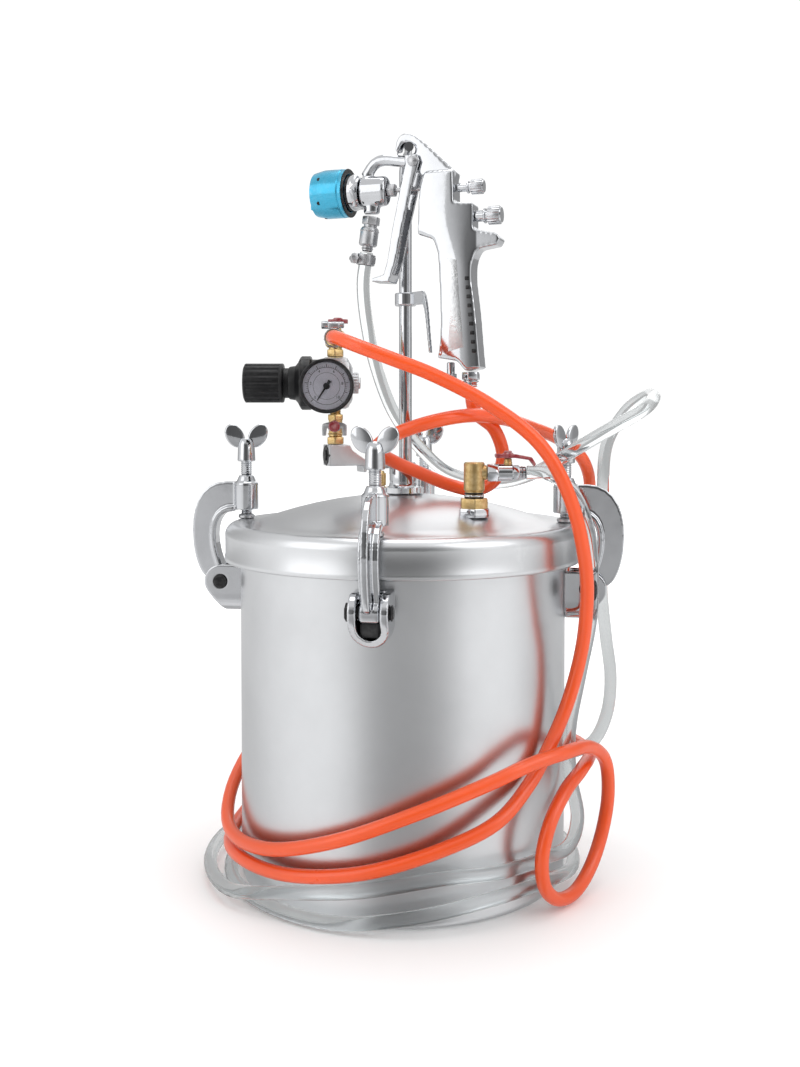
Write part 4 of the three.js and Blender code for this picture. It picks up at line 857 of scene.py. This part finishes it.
pale.inputs["Roughness"].default_value = 0.8
pale.inputs["Emission Color"].default_value = (1, 1, 1, 1)
here = shader(tree, "TexCoord").outputs["Object"]
away = shader(tree, "VectorMath", {"operation": "LENGTH"}, i0=here).outputs["Value"]
far = ranged(tree, away, FLOOR_NEAR, FLOOR_FAR, FLOOR_GLOW, FLOOR_HAZE)
tree.links.new(far, pale.inputs["Emission Strength"])
mirrored = shader(tree, "LightPath").outputs["Is Glossy Ray"]
unseen = shader(tree, "Math", {"operation": "MULTIPLY"}, i0=mirrored, i1=FLOOR_UNSEEN).outputs[0]
clear = shader(tree, "BsdfTransparent").outputs[0]
paler = shader(tree, "MixShader", i0=unseen, i1=pale.outputs[0], i2=clear).outputs[0]
tree.links.new(paler, tree.nodes["Material Output"].inputs["Surface"])
floor_mesh.materials.append(floor_finish)
MIDDLE = 0.28  # half the height, in metres


def softbox(name, at, power, size):
    """A square soft light aimed at the middle of the object."""
    data = bpy.data.lights.new(name, "AREA")
    data.energy = power
    data.size = size
    lamp = bpy.data.objects.new(name, data)
    lamp.location = at
    lamp.rotation_euler = (Vector((0, 0, MIDDLE)) - Vector(at)).to_track_quat("-Z", "Y").to_euler()
    scene.collection.objects.link(lamp)


softbox("key", (1.6, -0.9, 1.5), power=9, size=1.4)
softbox("side", (-1.4, -1.3, 1.1), power=6, size=1.5)
softbox("top", (0.0, 0.2, 2.2), power=11, size=1.2)
softbox("back", (0.2, 1.9, 1.2), power=5, size=1.4)

# Brightness of the studio wall round the object, by share of a turn; the front is at a half.
STUDIO = [(0.0, 0.5), (0.1, 0.45), (0.15, 0.5), (0.2, 0.65), (0.25, 0.9), (0.3, 1.0), (0.38, 1.0), (0.43, 0.75),
          (0.46, 0.25), (0.5, 0.12), (0.57, 0.14), (0.61, 0.4), (0.65, 0.95), (0.73, 1.0), (0.77, 0.8), (0.82, 0.4),
          (0.9, 0.35), (1.0, 0.5)]
WALL_TOP, CEILING = 0.35, 0.75  # heights over which the wall passes into the ceiling
CEILING_WHITE = (0.9, 0.9, 0.9, 1)
BACKDROP = 1.05
world = bpy.data.worlds.new("studio")
world.use_nodes = True
scene.world = world
tree = world.node_tree
tree.nodes.clear()
way = shader(tree, "SeparateXYZ", Vector=shader(tree, "TexCoord").outputs["Generated"])
flipped = shader(tree, "Math", {"operation": "MULTIPLY"}, i0=way.outputs[1], i1=-1.0).outputs[0]
angle = shader(tree, "Math", {"operation": "ARCTAN2"}, i0=way.outputs[0], i1=flipped).outputs[0]
share = ranged(tree, angle, -math.pi, math.pi, 0.0, 1.0)
walls = shader(tree, "ValToRGB", Fac=share)
stops = walls.color_ramp.elements
for k, (at, value) in enumerate(STUDIO):
    stop = stops[k] if k < 2 else stops.new(at)
    stop.position = at
    stop.color = (value, value, value, 1)
height = ranged(tree, way.outputs[2], WALL_TOP, CEILING, 0.0, 1.0)
room = mix(tree, height, walls.outputs[0], CEILING_WHITE)
seen = shader(tree, "LightPath").outputs["Is Camera Ray"]
backdrop = mix(tree, seen, room, (1, 1, 1, 1))
light = shader(tree, "Background", Color=backdrop, Strength=BACKDROP)
tree.links.new(light.outputs[0], tree.nodes.new("ShaderNodeOutputWorld").inputs[0])
